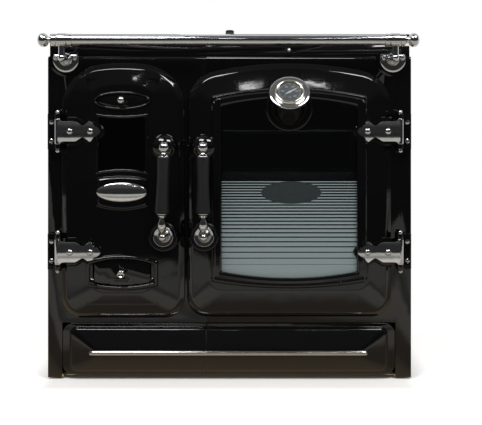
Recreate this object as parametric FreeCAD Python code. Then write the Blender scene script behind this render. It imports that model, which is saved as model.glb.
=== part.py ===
import FreeCAD, Part
import math
import os

# Cast iron range cooker: fire door on the left, oven door on the right, log drawer below.
# Millimetres. +Z is up, the front faces -Y, +X is to the right of someone facing the front.
# The origin is on the floor, under the centre of the whole cooker.
# "out" is how far a point stands proud of the front castings' flat face, towards the user.

Vec = FreeCAD.Vector
os.makedirs("parts", exist_ok=True)

# ---------------------------------------------------------------- driving dimensions
body_width = 900.0
body_depth = 600.0
half_width = body_width / 2
floor_gap = 4.0             # the castings stand this far off the floor, on the feet
frame_top = 800.0           # top edge of the front castings
hob_top = 856.0
casting = 14.0              # thickness of the front castings
seam_x = -56.5              # where the two front castings meet
seam = 0.6
sheet = 3.0                 # side and back panels
panel_inset = 2.0
shoulder = 8.0              # rounding along the castings' top edge

running_fit = 0.06          # radial clearance of shafts in their holes
air_gap = 0.4               # gap between faces that pass each other

# how far in from the body's side each part of the front starts
fire_margin, oven_margin = 35.0, 50.0
drawer_left_margin, drawer_right_margin = 37.0, 40.5
pin_margin, bracket_margin = 29.5, 46.0
# how far the doors stop from the seam
fire_to_seam, oven_to_seam = 53.5, 48.5

# fire door
fire_left, fire_right = fire_margin - half_width, seam_x - fire_to_seam
fire_bottom, fire_top = 152.0, 783.0
fire_crown, fire_shoulder, fire_foot = 420.0, 110.0, 52.0
# oven door
oven_left, oven_right = seam_x - oven_to_seam, half_width - oven_margin
oven_bottom, oven_top = 155.0, 782.0
oven_crown, oven_shoulder, oven_foot = 900.0, 90.0, 50.0
# both doors
door_seat = 0.6             # gap between a shut door and the face
door_wall = 7.0
door_edge = 3.0             # square edge before the bevel starts
bevel = 14.0                # width of the steep bevel round a door
crest_out = 13.0            # height of the bevel's crest
field_out = 24.0            # height of the door's raised field
fire_field_half = 75.0
fire_field_foot, fire_field_head = 62.0, 54.0
oven_field_side, oven_field_foot, oven_field_head = 56.0, 66.0, 66.0
field_corner = 34.0

# fire door window and its glass
pane_half = 56.5
pane_low, pane_high = 515.0, 650.0
pane_low_bow, pane_high_bow = -6.0, -5.0
pane_bead, pane_bead_rise = 7.0, 2.5
glass_thick = 4.0
glass_lap = 9.0
# oval plate on its raised band
oval_z = 464.0
oval_half_long, oval_half_high = 62.0, 24.0
oval_thick = 4.0
band_half, band_low, band_high = 63.0, 429.0, 499.0
band_low_bow, band_high_bow = 10.0, 5.0
band_rise = 2.5
# upper air register, an eye
eye_z = 689.0
eye_half_long, eye_half_high = 64.0, 17.0
eye_lip, eye_lip_rise = 5.0, 4.0
# lower air register, a barrel
barrel_half = 78.0
barrel_low, barrel_high = 244.0, 286.0
barrel_low_bow, barrel_high_bow = 10.0, 14.0
barrel_lip, barrel_lip_rise = 10.0, 5.0
# what the two registers share
shutter_thick = 5.0
shutter_gap = 1.5           # shutter edge to opening edge
shutter_sink = 2.0          # shutter face below the field
air_stud_r = 4.0
air_travel = 8.0
air_stud_reach = air_travel + 4.0
bridge_wide, bridge_thick, bridge_lap = 16.0, 6.0, 12.0
air_knob_r = 9.5

# oven door window and its glass
light_half = 166.0
light_low, light_high = 269.0, 675.0
light_low_bow, light_high_bow = 16.0, 20.0
light_bead, light_bead_rise = 25.0, 5.0
inner_glass_gap, inner_glass_lap, spacer_wide = 5.0, 20.0, 8.0

# rope seals
seal_wide = 6.0
fire_seal_half = 88.0
fire_seal_low, fire_seal_high = 186.0, 744.0
oven_seal_half = 184.0
oven_seal_low, oven_seal_high = 240.0, 706.0
seal_thick = 6.4
seal_to_opening = 4.0       # land between the rope and the opening in the casting

# hinges
fire_pin_x, oven_pin_x = pin_margin - half_width, half_width - pin_margin
pin_out = 19.5
pin_r, knuckle_r = 4.0, 8.0
hinge_high, hinge_low = 613.0, 317.0
strap_knuckle, leaf_knuckle = 31.0, 43.0
pin_ball_r = 5.5
leaf_wide, leaf_half, leaf_thick = 21.0, 43.5, 5.0
leaf_screw_r, leaf_screw_z, leaf_screw_high, leaf_screw_sides = 6.2, 24.0, 3.0, 16
pad_out, pad_margin = 24.6, 9.0
strap_thick, strap_crown_inset = 5.5, 3.5
strap_start, strap_root_half, strap_tip = 22.0, 24.7, 106.0
rivet_near, rivet_far, rivet_r = 31.0, 81.0, 7.5

# latch levers
fire_lever_x, oven_lever_x = fire_right - 51.0, oven_left + 44.0
lever_z = 355.0
lever_lean = 1.6            # the fire door's lever stands this many degrees off upright
boss_base_r, boss_r, boss_out = 38.0, 35.0, 31.0
dish_r, dish_recess, dish_gap = 25.0, 4.0, 2.0
spindle_r = 6.0
lever_ball_out, lever_ball_r = 46.0, 10.0
grip_out = 64.0
grip_low, grip_high = 61.0, 195.0
grip_r_low, grip_r_mid, grip_r_high = 18.0, 15.0, 16.5
tang_r = 5.0
ferrule_r = 12.5
bell_r, top_ball_r = 15.0, 14.0
rest_dome_z, rest_dome_r, rest_dome_out = 219.0, 35.0, 38.0
tongue_long, tongue_wide = 26.0, 8.0
tongue_low, tongue_high = 4.0, 8.0
keeper_lap, keeper_half = 8.0, 8.0
keeper_thick = 3.0
tongue_room = 8.0

# thermometer on the oven door
gauge_z, gauge_out = 703.5, 76.0
gauge_tilt = 35.0
gauge_neck_r, gauge_flange_r, gauge_flange_thick = 36.5, 49.0, 4.0
gauge_bezel_r, gauge_bezel_high = 35.0, 9.0
gauge_dial_r, gauge_dial_thick = 29.0, 2.0
gauge_collar_r, gauge_collar_out = 56.0, 31.0
gauge_glass_thick = 2.0
needle_long, needle_wide, needle_thick = 22.0, 2.4, 0.8
needle_angle = 32.0

# towel rail
rail_z, rail_out, rail_r = 834.0, 50.0, 13.0
bracket_x, bracket_z = half_width - bracket_margin, 791.0
bracket_r, bracket_cut, bracket_thick = 32.0, 13.0, 6.0
bracket_pad_r, bracket_pad_thick = 42.0, 4.0
bracket_ear_x, bracket_ear_r = 23.5, 6.0
bracket_arm_r, bracket_cup_r = 8.0, 12.4
bracket_collar_r, bracket_collar_long = 16.5, 25.0
side_collar_r, side_collar_long = 15.5, 13.0
rail_end_inset = 3.5        # the tube stops this short of its outer collar's end
finial_r, finial_half_long, finial_neck_r, finial_neck_long = 17.0, 13.5, 8.0, 7.0

# hob
hob_setback = 12.0
hob_side, hob_front, hob_rear = 20.0, 52.0, 180.0
hob_plate_thick, hob_ledge_thick, hob_ledge_wide = 12.0, 8.0, 8.0
hob_wall, hob_rear_wall = 12.0, 20.0
hob_gap = 1.0
hob_split_x = -20.0
ring_r, disc_r = 120.0, 75.0
lifter_slot_long, lifter_slot_wide, lifter_slot_deep, lifter_slot_from = 28.0, 10.0, 5.0, 35.0
ring_step = 6.0

# flue and its by-pass damper
flue_from_back = 92.0
flue_r, flue_wall, flue_high = 75.0, 4.0, 30.0
flue_flange_r, flue_flange_thick = 86.0, 6.0
damper_z, damper_r = 814.5, 4.0
damper_knob_r = 5.5
damper_plate_half, damper_plate_long, damper_plate_thick = 52.0, 130.0, 3.0
guide_thick = 4.0

# regulator knob at the front of the hob
knob_x, knob_r, knob_high = -1.0, 11.0, 13.0
knob_shaft_r = 4.0

# log drawer
drawer_left, drawer_right = drawer_left_margin - half_width, half_width - drawer_right_margin
drawer_low, drawer_high = 12.0, 138.5
drawer_gap = 1.5
drawer_corner = 24.0
drawer_rim_out, drawer_back_out = 2.0, -9.0
drawer_field_side, drawer_field_rise = 18.0, 8.0
ridge_z, ridge_half_high, ridge_out = 70.0, 8.0, 25.0
ridge_end = 64.0
strip_end_gap, strip_r = 71.25, 6.0
box_wall, box_long, box_high = 2.5, 470.0, 100.0
box_side_gap = 8.0
runner_wide, runner_high = 10.0, 6.0

# firebox, oven and chassis
plate = 5.0
hearth_z, hearth_thick = 144.0, 6.0
fire_open_half = fire_seal_half - seal_wide - seal_to_opening
fire_depth, oven_depth = 400.0, 430.0
grate_z, grate_thick = 350.0, 14.0
brick_thick, brick_high = 28.0, 300.0
ash_pan_high, ash_pan_wall = 70.0, 2.0
shelf_z, shelf_r, shelf_wire_r, shelf_pitch = 616.0, 4.0, 2.5, 25.0
tray_z, tray_high, tray_wall = 492.0, 20.0, 1.5
rib_deep, rib_high = 9.0, 5.0
foot_r, foot_pad = 20.0, 4.0
foot_inset = 45.0

# ---------------------------------------------------------------- places worked out from them
tilt = math.radians(gauge_tilt)
front_reach = gauge_out + gauge_flange_r * math.sin(tilt) + gauge_flange_thick * math.cos(tilt)
face_y = (front_reach - body_depth) / 2
back_y = face_y + body_depth
frame_back_y = face_y + casting
fire_x = (fire_left + fire_right) / 2
oven_x = (oven_left + oven_right) / 2
oven_open_half = oven_seal_half - seal_wide - seal_to_opening
fire_open_low, fire_open_high = (fire_seal_low + seal_wide + seal_to_opening,
                                 fire_seal_high - seal_wide - seal_to_opening)
oven_open_low, oven_open_high = (oven_seal_low + seal_wide + seal_to_opening,
                                 oven_seal_high - seal_wide - seal_to_opening)
plate_top = hob_top - 2.0
ring_x = (hob_split_x - half_width + panel_inset + hob_side) / 2 - 2.0
ring_y = (face_y + hob_setback + hob_front + back_y - hob_rear) / 2
flue_x, flue_y = oven_x, back_y - flue_from_back
gauge_axis = Vec(0, -math.cos(tilt), math.sin(tilt))
gauge_base_z = gauge_z - (gauge_out - field_out - light_bead_rise) * math.tan(tilt)
glass_out = field_out - door_wall
lip_low = tongue_high + 1.0
keeper_out = lip_low + keeper_thick
rail_half = bracket_x + bracket_collar_long / 2 + side_collar_long - rail_end_inset


# ---------------------------------------------------------------- shapes used all over
def on_face(x, z, out=0.0):
    """A point of the front, out mm proud of the castings' face."""
    return Vec(x, face_y - out, z)


def block(x0, x1, y0, y1, z0, z1):
    return Part.makeBox(x1 - x0, y1 - y0, z1 - z0, Vec(x0, y0, z0))


def slab(x0, x1, z0, z1, out0, out1):
    """A block given by how far it stands out from the face."""
    return block(x0, x1, face_y - out1, face_y - out0, z0, z1)


def rod(start, end, radius):
    return Part.makeCylinder(radius, (end - start).Length, start, end - start)


def cone(start, end, r0, r1):
    return Part.makeCone(r0, r1, (end - start).Length, start, end - start)


def ball(centre, radius):
    return Part.makeSphere(radius, centre)


def joined(shapes):
    first = shapes[0]
    return first.fuse(shapes[1:]).removeSplitter() if len(shapes) > 1 else first


def prism(wire, depth):
    """The wire's face pushed back into the cooker by depth (towards the user when negative)."""
    return Part.Face(wire).extrude(Vec(0, depth, 0))


def skin(wires):
    """A solid with straight-ruled sides through wires of the same make."""
    return Part.makeLoft(wires, True, True)


def write(name, shapes):
    """One node: one solid, or a set of separate solids."""
    solids = [solid for shape in shapes for solid in shape.Solids]
    shape = solids[0] if len(solids) == 1 else Part.makeCompound(solids)
    shape.exportStep("parts/" + name + ".step")


# An arched outline: straight sides and foot, rounded feet, shoulders and one wide crown arc.
def arch(left, right, low, high, crown, shoulder_radius, foot_radius):
    return {"left": left, "right": right, "low": low, "high": high,
            "crown": crown, "shoulder": shoulder_radius, "foot": foot_radius}


def inset(a, d):
    """The same arch, drawn in by d all round."""
    return arch(a["left"] + d, a["right"] - d, a["low"] + d, a["high"] - d,
                a["crown"] - d, max(a["shoulder"] - d, 2.0), max(a["foot"] - d, 2.0))


def arc(centre_x, centre_z, radius, from_deg, to_deg, out):
    def at(deg):
        a = math.radians(deg)
        return on_face(centre_x + radius * math.cos(a), centre_z + radius * math.sin(a), out)
    return Part.Arc(at(from_deg), at((from_deg + to_deg) / 2), at(to_deg)).toShape()


def arch_wire(a, out):
    mid = (a["left"] + a["right"]) / 2
    crown_z = a["high"] - a["crown"]
    reach = a["crown"] - a["shoulder"]
    side = a["right"] - a["shoulder"] - mid
    shoulder_z = crown_z + math.sqrt(reach ** 2 - side ** 2)
    turn = math.degrees(math.atan2(shoulder_z - crown_z, side))
    f, s = a["foot"], a["shoulder"]
    low, left, right = a["low"], a["left"], a["right"]
    return Part.Wire([
        Part.LineSegment(on_face(left + f, low, out), on_face(right - f, low, out)).toShape(),
        arc(right - f, low + f, f, -90, 0, out),
        Part.LineSegment(on_face(right, low + f, out), on_face(right, shoulder_z, out)).toShape(),
        arc(right - s, shoulder_z, s, 0, turn, out),
        arc(mid, crown_z, a["crown"], turn, 180 - turn, out),
        arc(left + s, shoulder_z, s, 180 - turn, 180, out),
        Part.LineSegment(on_face(left, shoulder_z, out), on_face(left, low + f, out)).toShape(),
        arc(left + f, low + f, f, 180, 270, out)])


def bowed_wire(mid, half, low, high, low_bow, high_bow, out):
    """Upright sides with a foot and a head that are shallow arcs, bowed outwards when positive."""
    left, right = mid - half, mid + half
    foot = Part.Arc(on_face(left, low, out), on_face(mid, low - low_bow, out), on_face(right, low, out))
    head = Part.Arc(on_face(right, high, out), on_face(mid, high + high_bow, out), on_face(left, high, out))
    return Part.Wire([foot.toShape(),
                      Part.LineSegment(on_face(right, low, out), on_face(right, high, out)).toShape(),
                      head.toShape(),
                      Part.LineSegment(on_face(left, high, out), on_face(left, low, out)).toShape()])


def ellipse_wire(x, z, half_long, half_high, out):
    curve = Part.Ellipse(on_face(x + half_long, z, out), on_face(x, z + half_high, out), on_face(x, z, out))
    return Part.Wire([curve.toShape()])


def frame_ring(mid, half, low, high, wide, out0, out1):
    """A flat rectangular ring, wide across, between two heights."""
    outer = slab(mid - half, mid + half, low, high, out0, out1)
    return outer.cut(slab(mid - half + wide, mid + half - wide, low + wide, high - wide, out0 - 1, out1 + 1))


# ---------------------------------------------------------------- front castings
def front_casting(x0, x1):
    """One front casting with its rounded top edge, before any opening is cut."""
    body = slab(x0, x1, floor_gap, frame_top, -casting, 0)
    edge = [e for e in body.Edges
            if abs(e.CenterOfMass.z - frame_top) < 0.01 and abs(e.CenterOfMass.y - face_y) < 0.01]
    return body.makeFillet(min(shoulder, casting - 1), edge)


def bracket_pad(x):
    """The half-round enamelled pad under a rail bracket."""
    disc = rod(on_face(x, bracket_z, -shoulder), on_face(x, bracket_z, bracket_pad_thick), bracket_pad_r)
    keep = slab(x - bracket_pad_r - 1, x + bracket_pad_r + 1,
                bracket_z - bracket_pad_r - 1, frame_top, -casting, bracket_pad_thick + 1)
    return disc.common(keep)


def drawer_mouth():
    return slab(drawer_left - drawer_gap, drawer_right + drawer_gap,
                0, drawer_high + drawer_gap, -casting - 1, 1)


def fire_mouth():
    return slab(fire_x - fire_open_half, fire_x + fire_open_half,
                fire_open_low, fire_open_high, -casting - 1, 1)


def oven_mouth():
    return slab(oven_x - oven_open_half, oven_x + oven_open_half,
                oven_open_low, oven_open_high, -casting - 1, 1)


write("front_frame_left", [front_casting(-half_width, seam_x - seam / 2).fuse(bracket_pad(-bracket_x))
                           .cut(drawer_mouth()).cut(fire_mouth())])
write("front_frame_right", [front_casting(seam_x + seam / 2, half_width).fuse(bracket_pad(bracket_x))
                            .cut(drawer_mouth()).cut(oven_mouth())])

# ---------------------------------------------------------------- chassis, panels, feet
side_x = half_width - panel_inset
deck_z = floor_gap + foot_pad
box_left = drawer_left + box_side_gap
box_right = drawer_right - box_side_gap
box_floor = deck_z + plate + runner_high + air_gap

panel_back_y = back_y - sheet
write("side_panel_left", [block(-side_x, -side_x + sheet, frame_back_y, panel_back_y, floor_gap, frame_top)])
write("side_panel_right", [block(side_x - sheet, side_x, frame_back_y, panel_back_y, floor_gap, frame_top)])
write("back_panel", [block(-side_x, side_x, panel_back_y, back_y, floor_gap, frame_top)])


def base_frame():
    """Welded chassis: floor plate, drawer runners, side beams and the hearth plate over the drawer."""
    inner = side_x - sheet
    front, rear = frame_back_y, panel_back_y
    floor_plate = block(-inner, inner, front, rear, deck_z, deck_z + plate)
    runners = [block(x - runner_wide / 2, x + runner_wide / 2, front, front + box_long,
                     deck_z + plate, deck_z + plate + runner_high)
               for x in (box_left + 2 * runner_wide, box_right - 2 * runner_wide)]
    beams = [block(-inner, -inner + plate, front, rear, deck_z + plate, hearth_z),
             block(inner - plate, inner, front, rear, deck_z + plate, hearth_z),
             block(-inner + plate, inner - plate, rear - plate, rear, deck_z + plate, hearth_z)]
    hearth = block(-inner, inner, front, rear, hearth_z, hearth_z + hearth_thick)
    return [floor_plate] + runners + beams + [hearth]


def foot(x, y):
    """Levelling foot: a round pad turned up against the floor plate."""
    return rod(Vec(x, y, 0), Vec(x, y, deck_z), foot_r)


write("base_frame", base_frame())
write("levelling_feet", [foot(sx * (side_x - foot_inset), y) for sx in (-1, 1)
                         for y in (frame_back_y + foot_inset, back_y - foot_inset)])

# ---------------------------------------------------------------- firebox
hearth_top = hearth_z + hearth_thick
fire_in_left = fire_x - fire_open_half - plate
fire_in_right = fire_x + fire_open_half + plate
fire_rear = frame_back_y + fire_depth
shell_top = grate_z + grate_thick + brick_high


def firebox_shell():
    """Plates round the fire and the ash space, with two ledges that carry the grate and the bricks."""
    ledge_low, lap = grate_z - 12.0, 10.0
    left = block(fire_in_left - brick_thick - plate, fire_in_left - brick_thick,
                 frame_back_y, fire_rear, hearth_top, shell_top)
    right = block(fire_in_right + brick_thick, fire_in_right + brick_thick + plate,
                  frame_back_y, fire_rear, hearth_top, shell_top)
    rear = block(fire_in_left - brick_thick - plate, fire_in_right + brick_thick + plate,
                 fire_rear, fire_rear + plate, hearth_top, shell_top)
    ledges = [block(fire_in_left - brick_thick, fire_in_left + lap, frame_back_y, fire_rear,
                    ledge_low, grate_z),
              block(fire_in_right - lap, fire_in_right + brick_thick, frame_back_y, fire_rear,
                    ledge_low, grate_z)]
    ash_floor = block(fire_in_left - brick_thick, fire_in_right + brick_thick, frame_back_y, fire_rear,
                      fire_open_low - plate, fire_open_low)
    return [left, right, rear, ash_floor] + ledges


def firebox_bricks():
    low, high = grate_z, grate_z + brick_high
    return [block(fire_in_left - brick_thick, fire_in_left, frame_back_y, fire_rear, low, high),
            block(fire_in_right, fire_in_right + brick_thick, frame_back_y, fire_rear, low, high),
            block(fire_in_left, fire_in_right, fire_rear - brick_thick, fire_rear, low, high)]


def fire_grate():
    """A cast grate: a rim with bars from front to back."""
    x0, x1 = fire_in_left + 1, fire_in_right - 1
    y0, y1 = frame_back_y + 4, fire_rear - brick_thick - 1
    rim = 14.0
    bar, pitch = 9.0, 18.0
    grate = block(x0, x1, y0, y1, grate_z, grate_z + grate_thick)
    slots = []
    count = round((x1 - x0 - 2 * rim) / pitch - 0.5)
    start = (x0 + x1) / 2 - (count - 1) * pitch / 2
    for i in range(count):
        x = start + i * pitch
        slots.append(block(x - (pitch - bar) / 2, x + (pitch - bar) / 2, y0 + rim, y1 - rim,
                           grate_z - 1, grate_z + grate_thick + 1))
    return grate.cut(slots)


def open_box(x0, x1, y0, y1, low, high, wall):
    """Floor and four walls, each its own flat plate."""
    return [block(x0, x1, y0, y1, low, low + wall),
            block(x0, x0 + wall, y0, y1, low + wall, high),
            block(x1 - wall, x1, y0, y1, low + wall, high),
            block(x0 + wall, x1 - wall, y0, y0 + wall, low + wall, high),
            block(x0 + wall, x1 - wall, y1 - wall, y1, low + wall, high)]


write("firebox_shell", firebox_shell())
write("firebox_bricks", firebox_bricks())
write("fire_grate", [fire_grate()])
write("ash_pan", open_box(fire_x - fire_open_half + 6, fire_x + fire_open_half - 6,
                          frame_back_y + 6, fire_rear - 30, fire_open_low, fire_open_low + ash_pan_high,
                          ash_pan_wall))

# ---------------------------------------------------------------- oven
oven_in_left, oven_in_right = oven_x - oven_open_half - 4, oven_x + oven_open_half + 4
oven_in_low, oven_in_high = oven_open_low - 2, oven_open_high + 4
oven_rear = frame_back_y + oven_depth


def oven_ribs(z):
    """A pair of cast ribs that carry a shelf whose underside is at z."""
    y0, y1 = frame_back_y + 10, oven_rear - 10
    return [block(oven_in_left, oven_in_left + rib_deep, y0, y1, z - rib_high, z),
            block(oven_in_right - rib_deep, oven_in_right, y0, y1, z - rib_high, z)]


def oven_box():
    """Five plates that make the oven, its side plates with shelf ribs, and two feet on the hearth."""
    y0, y1 = frame_back_y, oven_rear
    rib_levels = [shelf_z - shelf_r, tray_z, (oven_in_low + tray_z) / 2]
    ribs = [oven_ribs(z) for z in rib_levels]
    left = joined([block(oven_in_left - plate, oven_in_left, y0, y1, oven_in_low, oven_in_high)]
                  + [pair[0] for pair in ribs])
    right = joined([block(oven_in_right, oven_in_right + plate, y0, y1, oven_in_low, oven_in_high)]
                   + [pair[1] for pair in ribs])
    floor_plate = block(oven_in_left - plate, oven_in_right + plate, y0, y1,
                        oven_in_low - plate, oven_in_low)
    roof = block(oven_in_left - plate, oven_in_right + plate, y0, y1, oven_in_high, oven_in_high + plate)
    rear = block(oven_in_left - plate, oven_in_right + plate, y1, y1 + plate,
                 oven_in_low - plate, oven_in_high + plate)
    stands = [block(x, x + 4 * plate, y0 + 40, y1 - 40, hearth_top, oven_in_low - plate)
              for x in (oven_in_left + 30, oven_in_right - 30 - 4 * plate)]
    return [floor_plate, roof, left, right, rear] + stands


def oven_shelf():
    """A wire rack: a rim of thick wire and thin wires from front to back."""
    x0, x1 = oven_in_left + 2 + shelf_r, oven_in_right - 2 - shelf_r
    y0, y1 = frame_back_y + 16, oven_rear - 16
    rim = [rod(Vec(x0, y0, shelf_z), Vec(x1, y0, shelf_z), shelf_r),
           rod(Vec(x0, y1, shelf_z), Vec(x1, y1, shelf_z), shelf_r),
           rod(Vec(x0, y0, shelf_z), Vec(x0, y1, shelf_z), shelf_r),
           rod(Vec(x1, y0, shelf_z), Vec(x1, y1, shelf_z), shelf_r)]
    corners = [ball(Vec(x, y, shelf_z), shelf_r) for x in (x0, x1) for y in (y0, y1)]
    gaps = round((x1 - x0) / shelf_pitch)
    step = (x1 - x0) / gaps
    wires = [rod(Vec(x0 + i * step, y0, shelf_z), Vec(x0 + i * step, y1, shelf_z), shelf_wire_r)
             for i in range(1, gaps)]
    return joined(rim + corners + wires)


write("oven_box", oven_box())
write("oven_shelf", [oven_shelf()])
write("oven_tray", open_box(oven_in_left + 2, oven_in_right - 2, frame_back_y + 16, oven_rear - 16,
                            tray_z, tray_z + tray_high, tray_wall))

# ---------------------------------------------------------------- hob
hob_front_y = face_y + hob_setback
well_x = half_width - panel_inset - hob_side
well_front, well_rear = hob_front_y + hob_front, back_y - hob_rear
ledge_z = plate_top - hob_plate_thick
outer_x = half_width - panel_inset
under_z = ledge_z - hob_ledge_thick
knob_y = hob_front_y + hob_front / 2


def hob_front_bar():
    """The deep front band of the hob: its wall, the top behind it and the ledge for the plates."""
    bar = joined([block(-outer_x, outer_x, hob_front_y, hob_front_y + hob_wall, frame_top, hob_top),
                  block(-well_x, well_x, hob_front_y + hob_wall, well_front, under_z, hob_top),
                  block(-well_x, well_x, well_front, well_front + hob_ledge_wide, under_z, ledge_z)])
    knob_hole = rod(Vec(knob_x, knob_y, frame_top), Vec(knob_x, knob_y, hob_top + 1),
                    knob_shaft_r + running_fit)
    rod_hole = rod(Vec(flue_x, hob_front_y - 1, damper_z), Vec(flue_x, well_front + 1, damper_z),
                   damper_r + running_fit)
    return bar.cut([knob_hole, rod_hole])


def hob_side_bar(side):
    wall0, wall1 = sorted((side * well_x, side * outer_x))
    ledge0, ledge1 = sorted((side * (well_x - hob_ledge_wide), side * well_x))
    return joined([block(wall0, wall1, hob_front_y + hob_wall, back_y - hob_rear_wall, frame_top, hob_top),
                   block(ledge0, ledge1, well_front + hob_ledge_wide, well_rear - hob_ledge_wide,
                         under_z, ledge_z)])


def hob_rear_plate():
    """The wide plate behind the cooking plates, with the flue's hole and a wall down to the back panel."""
    plate_part = joined([block(-outer_x, outer_x, back_y - hob_rear_wall, back_y, frame_top, hob_top),
                         block(-well_x, well_x, well_rear, back_y - hob_rear_wall, under_z, hob_top),
                         block(-well_x, well_x, well_rear - hob_ledge_wide, well_rear, under_z, ledge_z)])
    return plate_part.cut(rod(Vec(flue_x, flue_y, frame_top), Vec(flue_x, flue_y, hob_top + 1),
                              flue_r - flue_wall))


def damper_guide(side):
    """A hooked guide bolted under the rear plate; a pair of them carries the damper plate."""
    y0, y1 = well_rear + 2, back_y - hob_rear_wall
    low = damper_z - damper_r - damper_plate_thick - guide_thick - air_gap
    web = flue_x + side * (damper_plate_half + air_gap + guide_thick / 2)
    lip = web - side * guide_thick
    return joined([block(web - guide_thick / 2, web + guide_thick / 2, y0, y1, low, under_z),
                   block(min(web, lip) - guide_thick / 2, max(web, lip) + guide_thick / 2,
                         y0, y1, low, low + guide_thick)])


def hob_plate(x0, x1):
    return block(x0, x1, well_front + hob_gap, well_rear - hob_gap, ledge_z, plate_top)


def stepped_disc(radius, grow):
    """A lid whose upper half is wider than its lower half by the step, so that it hangs in its hole."""
    half = hob_plate_thick / 2
    low = Part.makeCylinder(radius - ring_step + grow, half, Vec(ring_x, ring_y, ledge_z))
    high = Part.makeCylinder(radius + grow, half, Vec(ring_x, ring_y, ledge_z + half))
    return low.fuse(high).removeSplitter()


def hob_disc():
    """The middle lid, with the slot for its lifter."""
    near = ring_y - lifter_slot_from
    slot = block(ring_x - lifter_slot_long / 2, ring_x + lifter_slot_long / 2, near - lifter_slot_wide, near,
                 plate_top - lifter_slot_deep, plate_top + 1)
    return stepped_disc(disc_r, 0).cut(slot)


write("hob_frame", [hob_front_bar(), hob_side_bar(-1), hob_side_bar(1), hob_rear_plate(),
                    damper_guide(-1), damper_guide(1)])
write("hob_plate_left", [hob_plate(-well_x + hob_gap, hob_split_x - hob_gap / 2).cut(
    stepped_disc(ring_r, air_gap))])
write("hob_plate_right", [hob_plate(hob_split_x + hob_gap / 2, well_x - hob_gap)])
write("hob_ring", [stepped_disc(ring_r, 0).cut(stepped_disc(disc_r, air_gap))])
write("hob_disc", [hob_disc()])

# ---------------------------------------------------------------- flue and damper
def flue_collar():
    """Spigot that the flue pipe slides over, on a flange screwed to the hob frame."""
    foot_z = hob_top
    flange = Part.makeCylinder(flue_flange_r, flue_flange_thick, Vec(flue_x, flue_y, foot_z))
    spigot = Part.makeCylinder(flue_r, flue_high, Vec(flue_x, flue_y, foot_z))
    bore = Part.makeCylinder(flue_r - flue_wall, flue_high + 2, Vec(flue_x, flue_y, foot_z - 1))
    return flange.fuse(spigot).removeSplitter().cut(bore)


def damper():
    """By-pass damper: a sliding plate, its pull rod and the knob at the front."""
    plate_y0 = flue_y - damper_plate_long / 2
    start = Vec(flue_x, hob_front_y - 10, damper_z)
    end = Vec(flue_x, plate_y0 + 40, damper_z)
    slide = block(flue_x - damper_plate_half, flue_x + damper_plate_half,
                  plate_y0, plate_y0 + damper_plate_long,
                  damper_z - damper_r - damper_plate_thick, damper_z - damper_r)
    pull = rod(start, end, damper_r)
    lug = block(flue_x - 8, flue_x + 8, plate_y0 + 4, plate_y0 + 36, damper_z - damper_r, damper_z)
    return [joined([pull, slide, lug])]


def damper_knob():
    y = hob_front_y - 10
    neck = cone(Vec(flue_x, hob_front_y - 1, damper_z), Vec(flue_x, y, damper_z),
                damper_knob_r, damper_r + 0.7)
    head = ball(Vec(flue_x, y - 4, damper_z), damper_knob_r)
    hole = rod(Vec(flue_x, hob_front_y, damper_z), Vec(flue_x, y, damper_z), damper_r)
    return joined([neck, head]).cut(hole)


write("flue_collar", [flue_collar()])
write("flue_damper", damper() + [damper_knob()])


def regulator_knob():
    """Knob on a short shaft through the front of the hob."""
    foot_z = hob_top + air_gap
    shaft = rod(Vec(knob_x, knob_y, hob_top - 18), Vec(knob_x, knob_y, foot_z + 2), knob_shaft_r)
    skirt = Part.makeCone(knob_r + 2, knob_r, 5, Vec(knob_x, knob_y, foot_z))
    cap = Part.makeCylinder(knob_r, knob_high - 5, Vec(knob_x, knob_y, foot_z + 5))
    edge = [e for e in cap.Edges if abs(e.CenterOfMass.z - foot_z - knob_high) < 0.01]
    return joined([shaft, skirt, cap.makeFillet(3.0, edge)])


write("regulator_knob", [regulator_knob()])


# ---------------------------------------------------------------- hinges
def strap_half_heights(grow):
    """Distance from the pin and half height of the strap, waist and two swellings, to its tip."""
    return [(strap_start, strap_root_half + grow), (34.0, strap_root_half + grow), (45.0, 24.0 + grow),
            (54.0, 18.8 + grow), (63.0, 14.9 + grow), (72.0, 20.5 + grow), (80.0, 25.5 + grow),
            (90.0, 14.0 + grow), (100.0, 8.5 + grow), (strap_tip + grow, 0.0)]


def strap_wire(pin_x, side, z, grow, out):
    """The ornamental strap's outline: one smooth line out to the tip and back, closed by a straight end."""
    above = strap_half_heights(grow)
    below = [(d, -h) for d, h in reversed(above[:-1])]
    points = [on_face(pin_x + side * d, z + h, out) for d, h in above + below]
    line = Part.BSplineCurve()
    line.interpolate(points)
    return Part.Wire([line.toShape(), Part.LineSegment(points[-1], points[0]).toShape()])


def strap_pad(pin_x, side, z, outline):
    """The door's cast pad under a strap, cut off at the door's own edge."""
    pad = prism(strap_wire(pin_x, side, z, pad_margin, pad_out), pad_out - crest_out + door_wall)
    return pad.common(prism(arch_wire(outline, pad_out), pad_out))


def strap_room(pin_x, side, z):
    """The room over a pad, cut into whatever on the door would stand in the strap's way."""
    return prism(strap_wire(pin_x, side, z, pad_margin, 2 * pad_out), pad_out)


def upright(pin_x, z, half_long, radius):
    """A rod on a hinge's axis."""
    return rod(on_face(pin_x, z - half_long, pin_out), on_face(pin_x, z + half_long, pin_out), radius)


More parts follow.
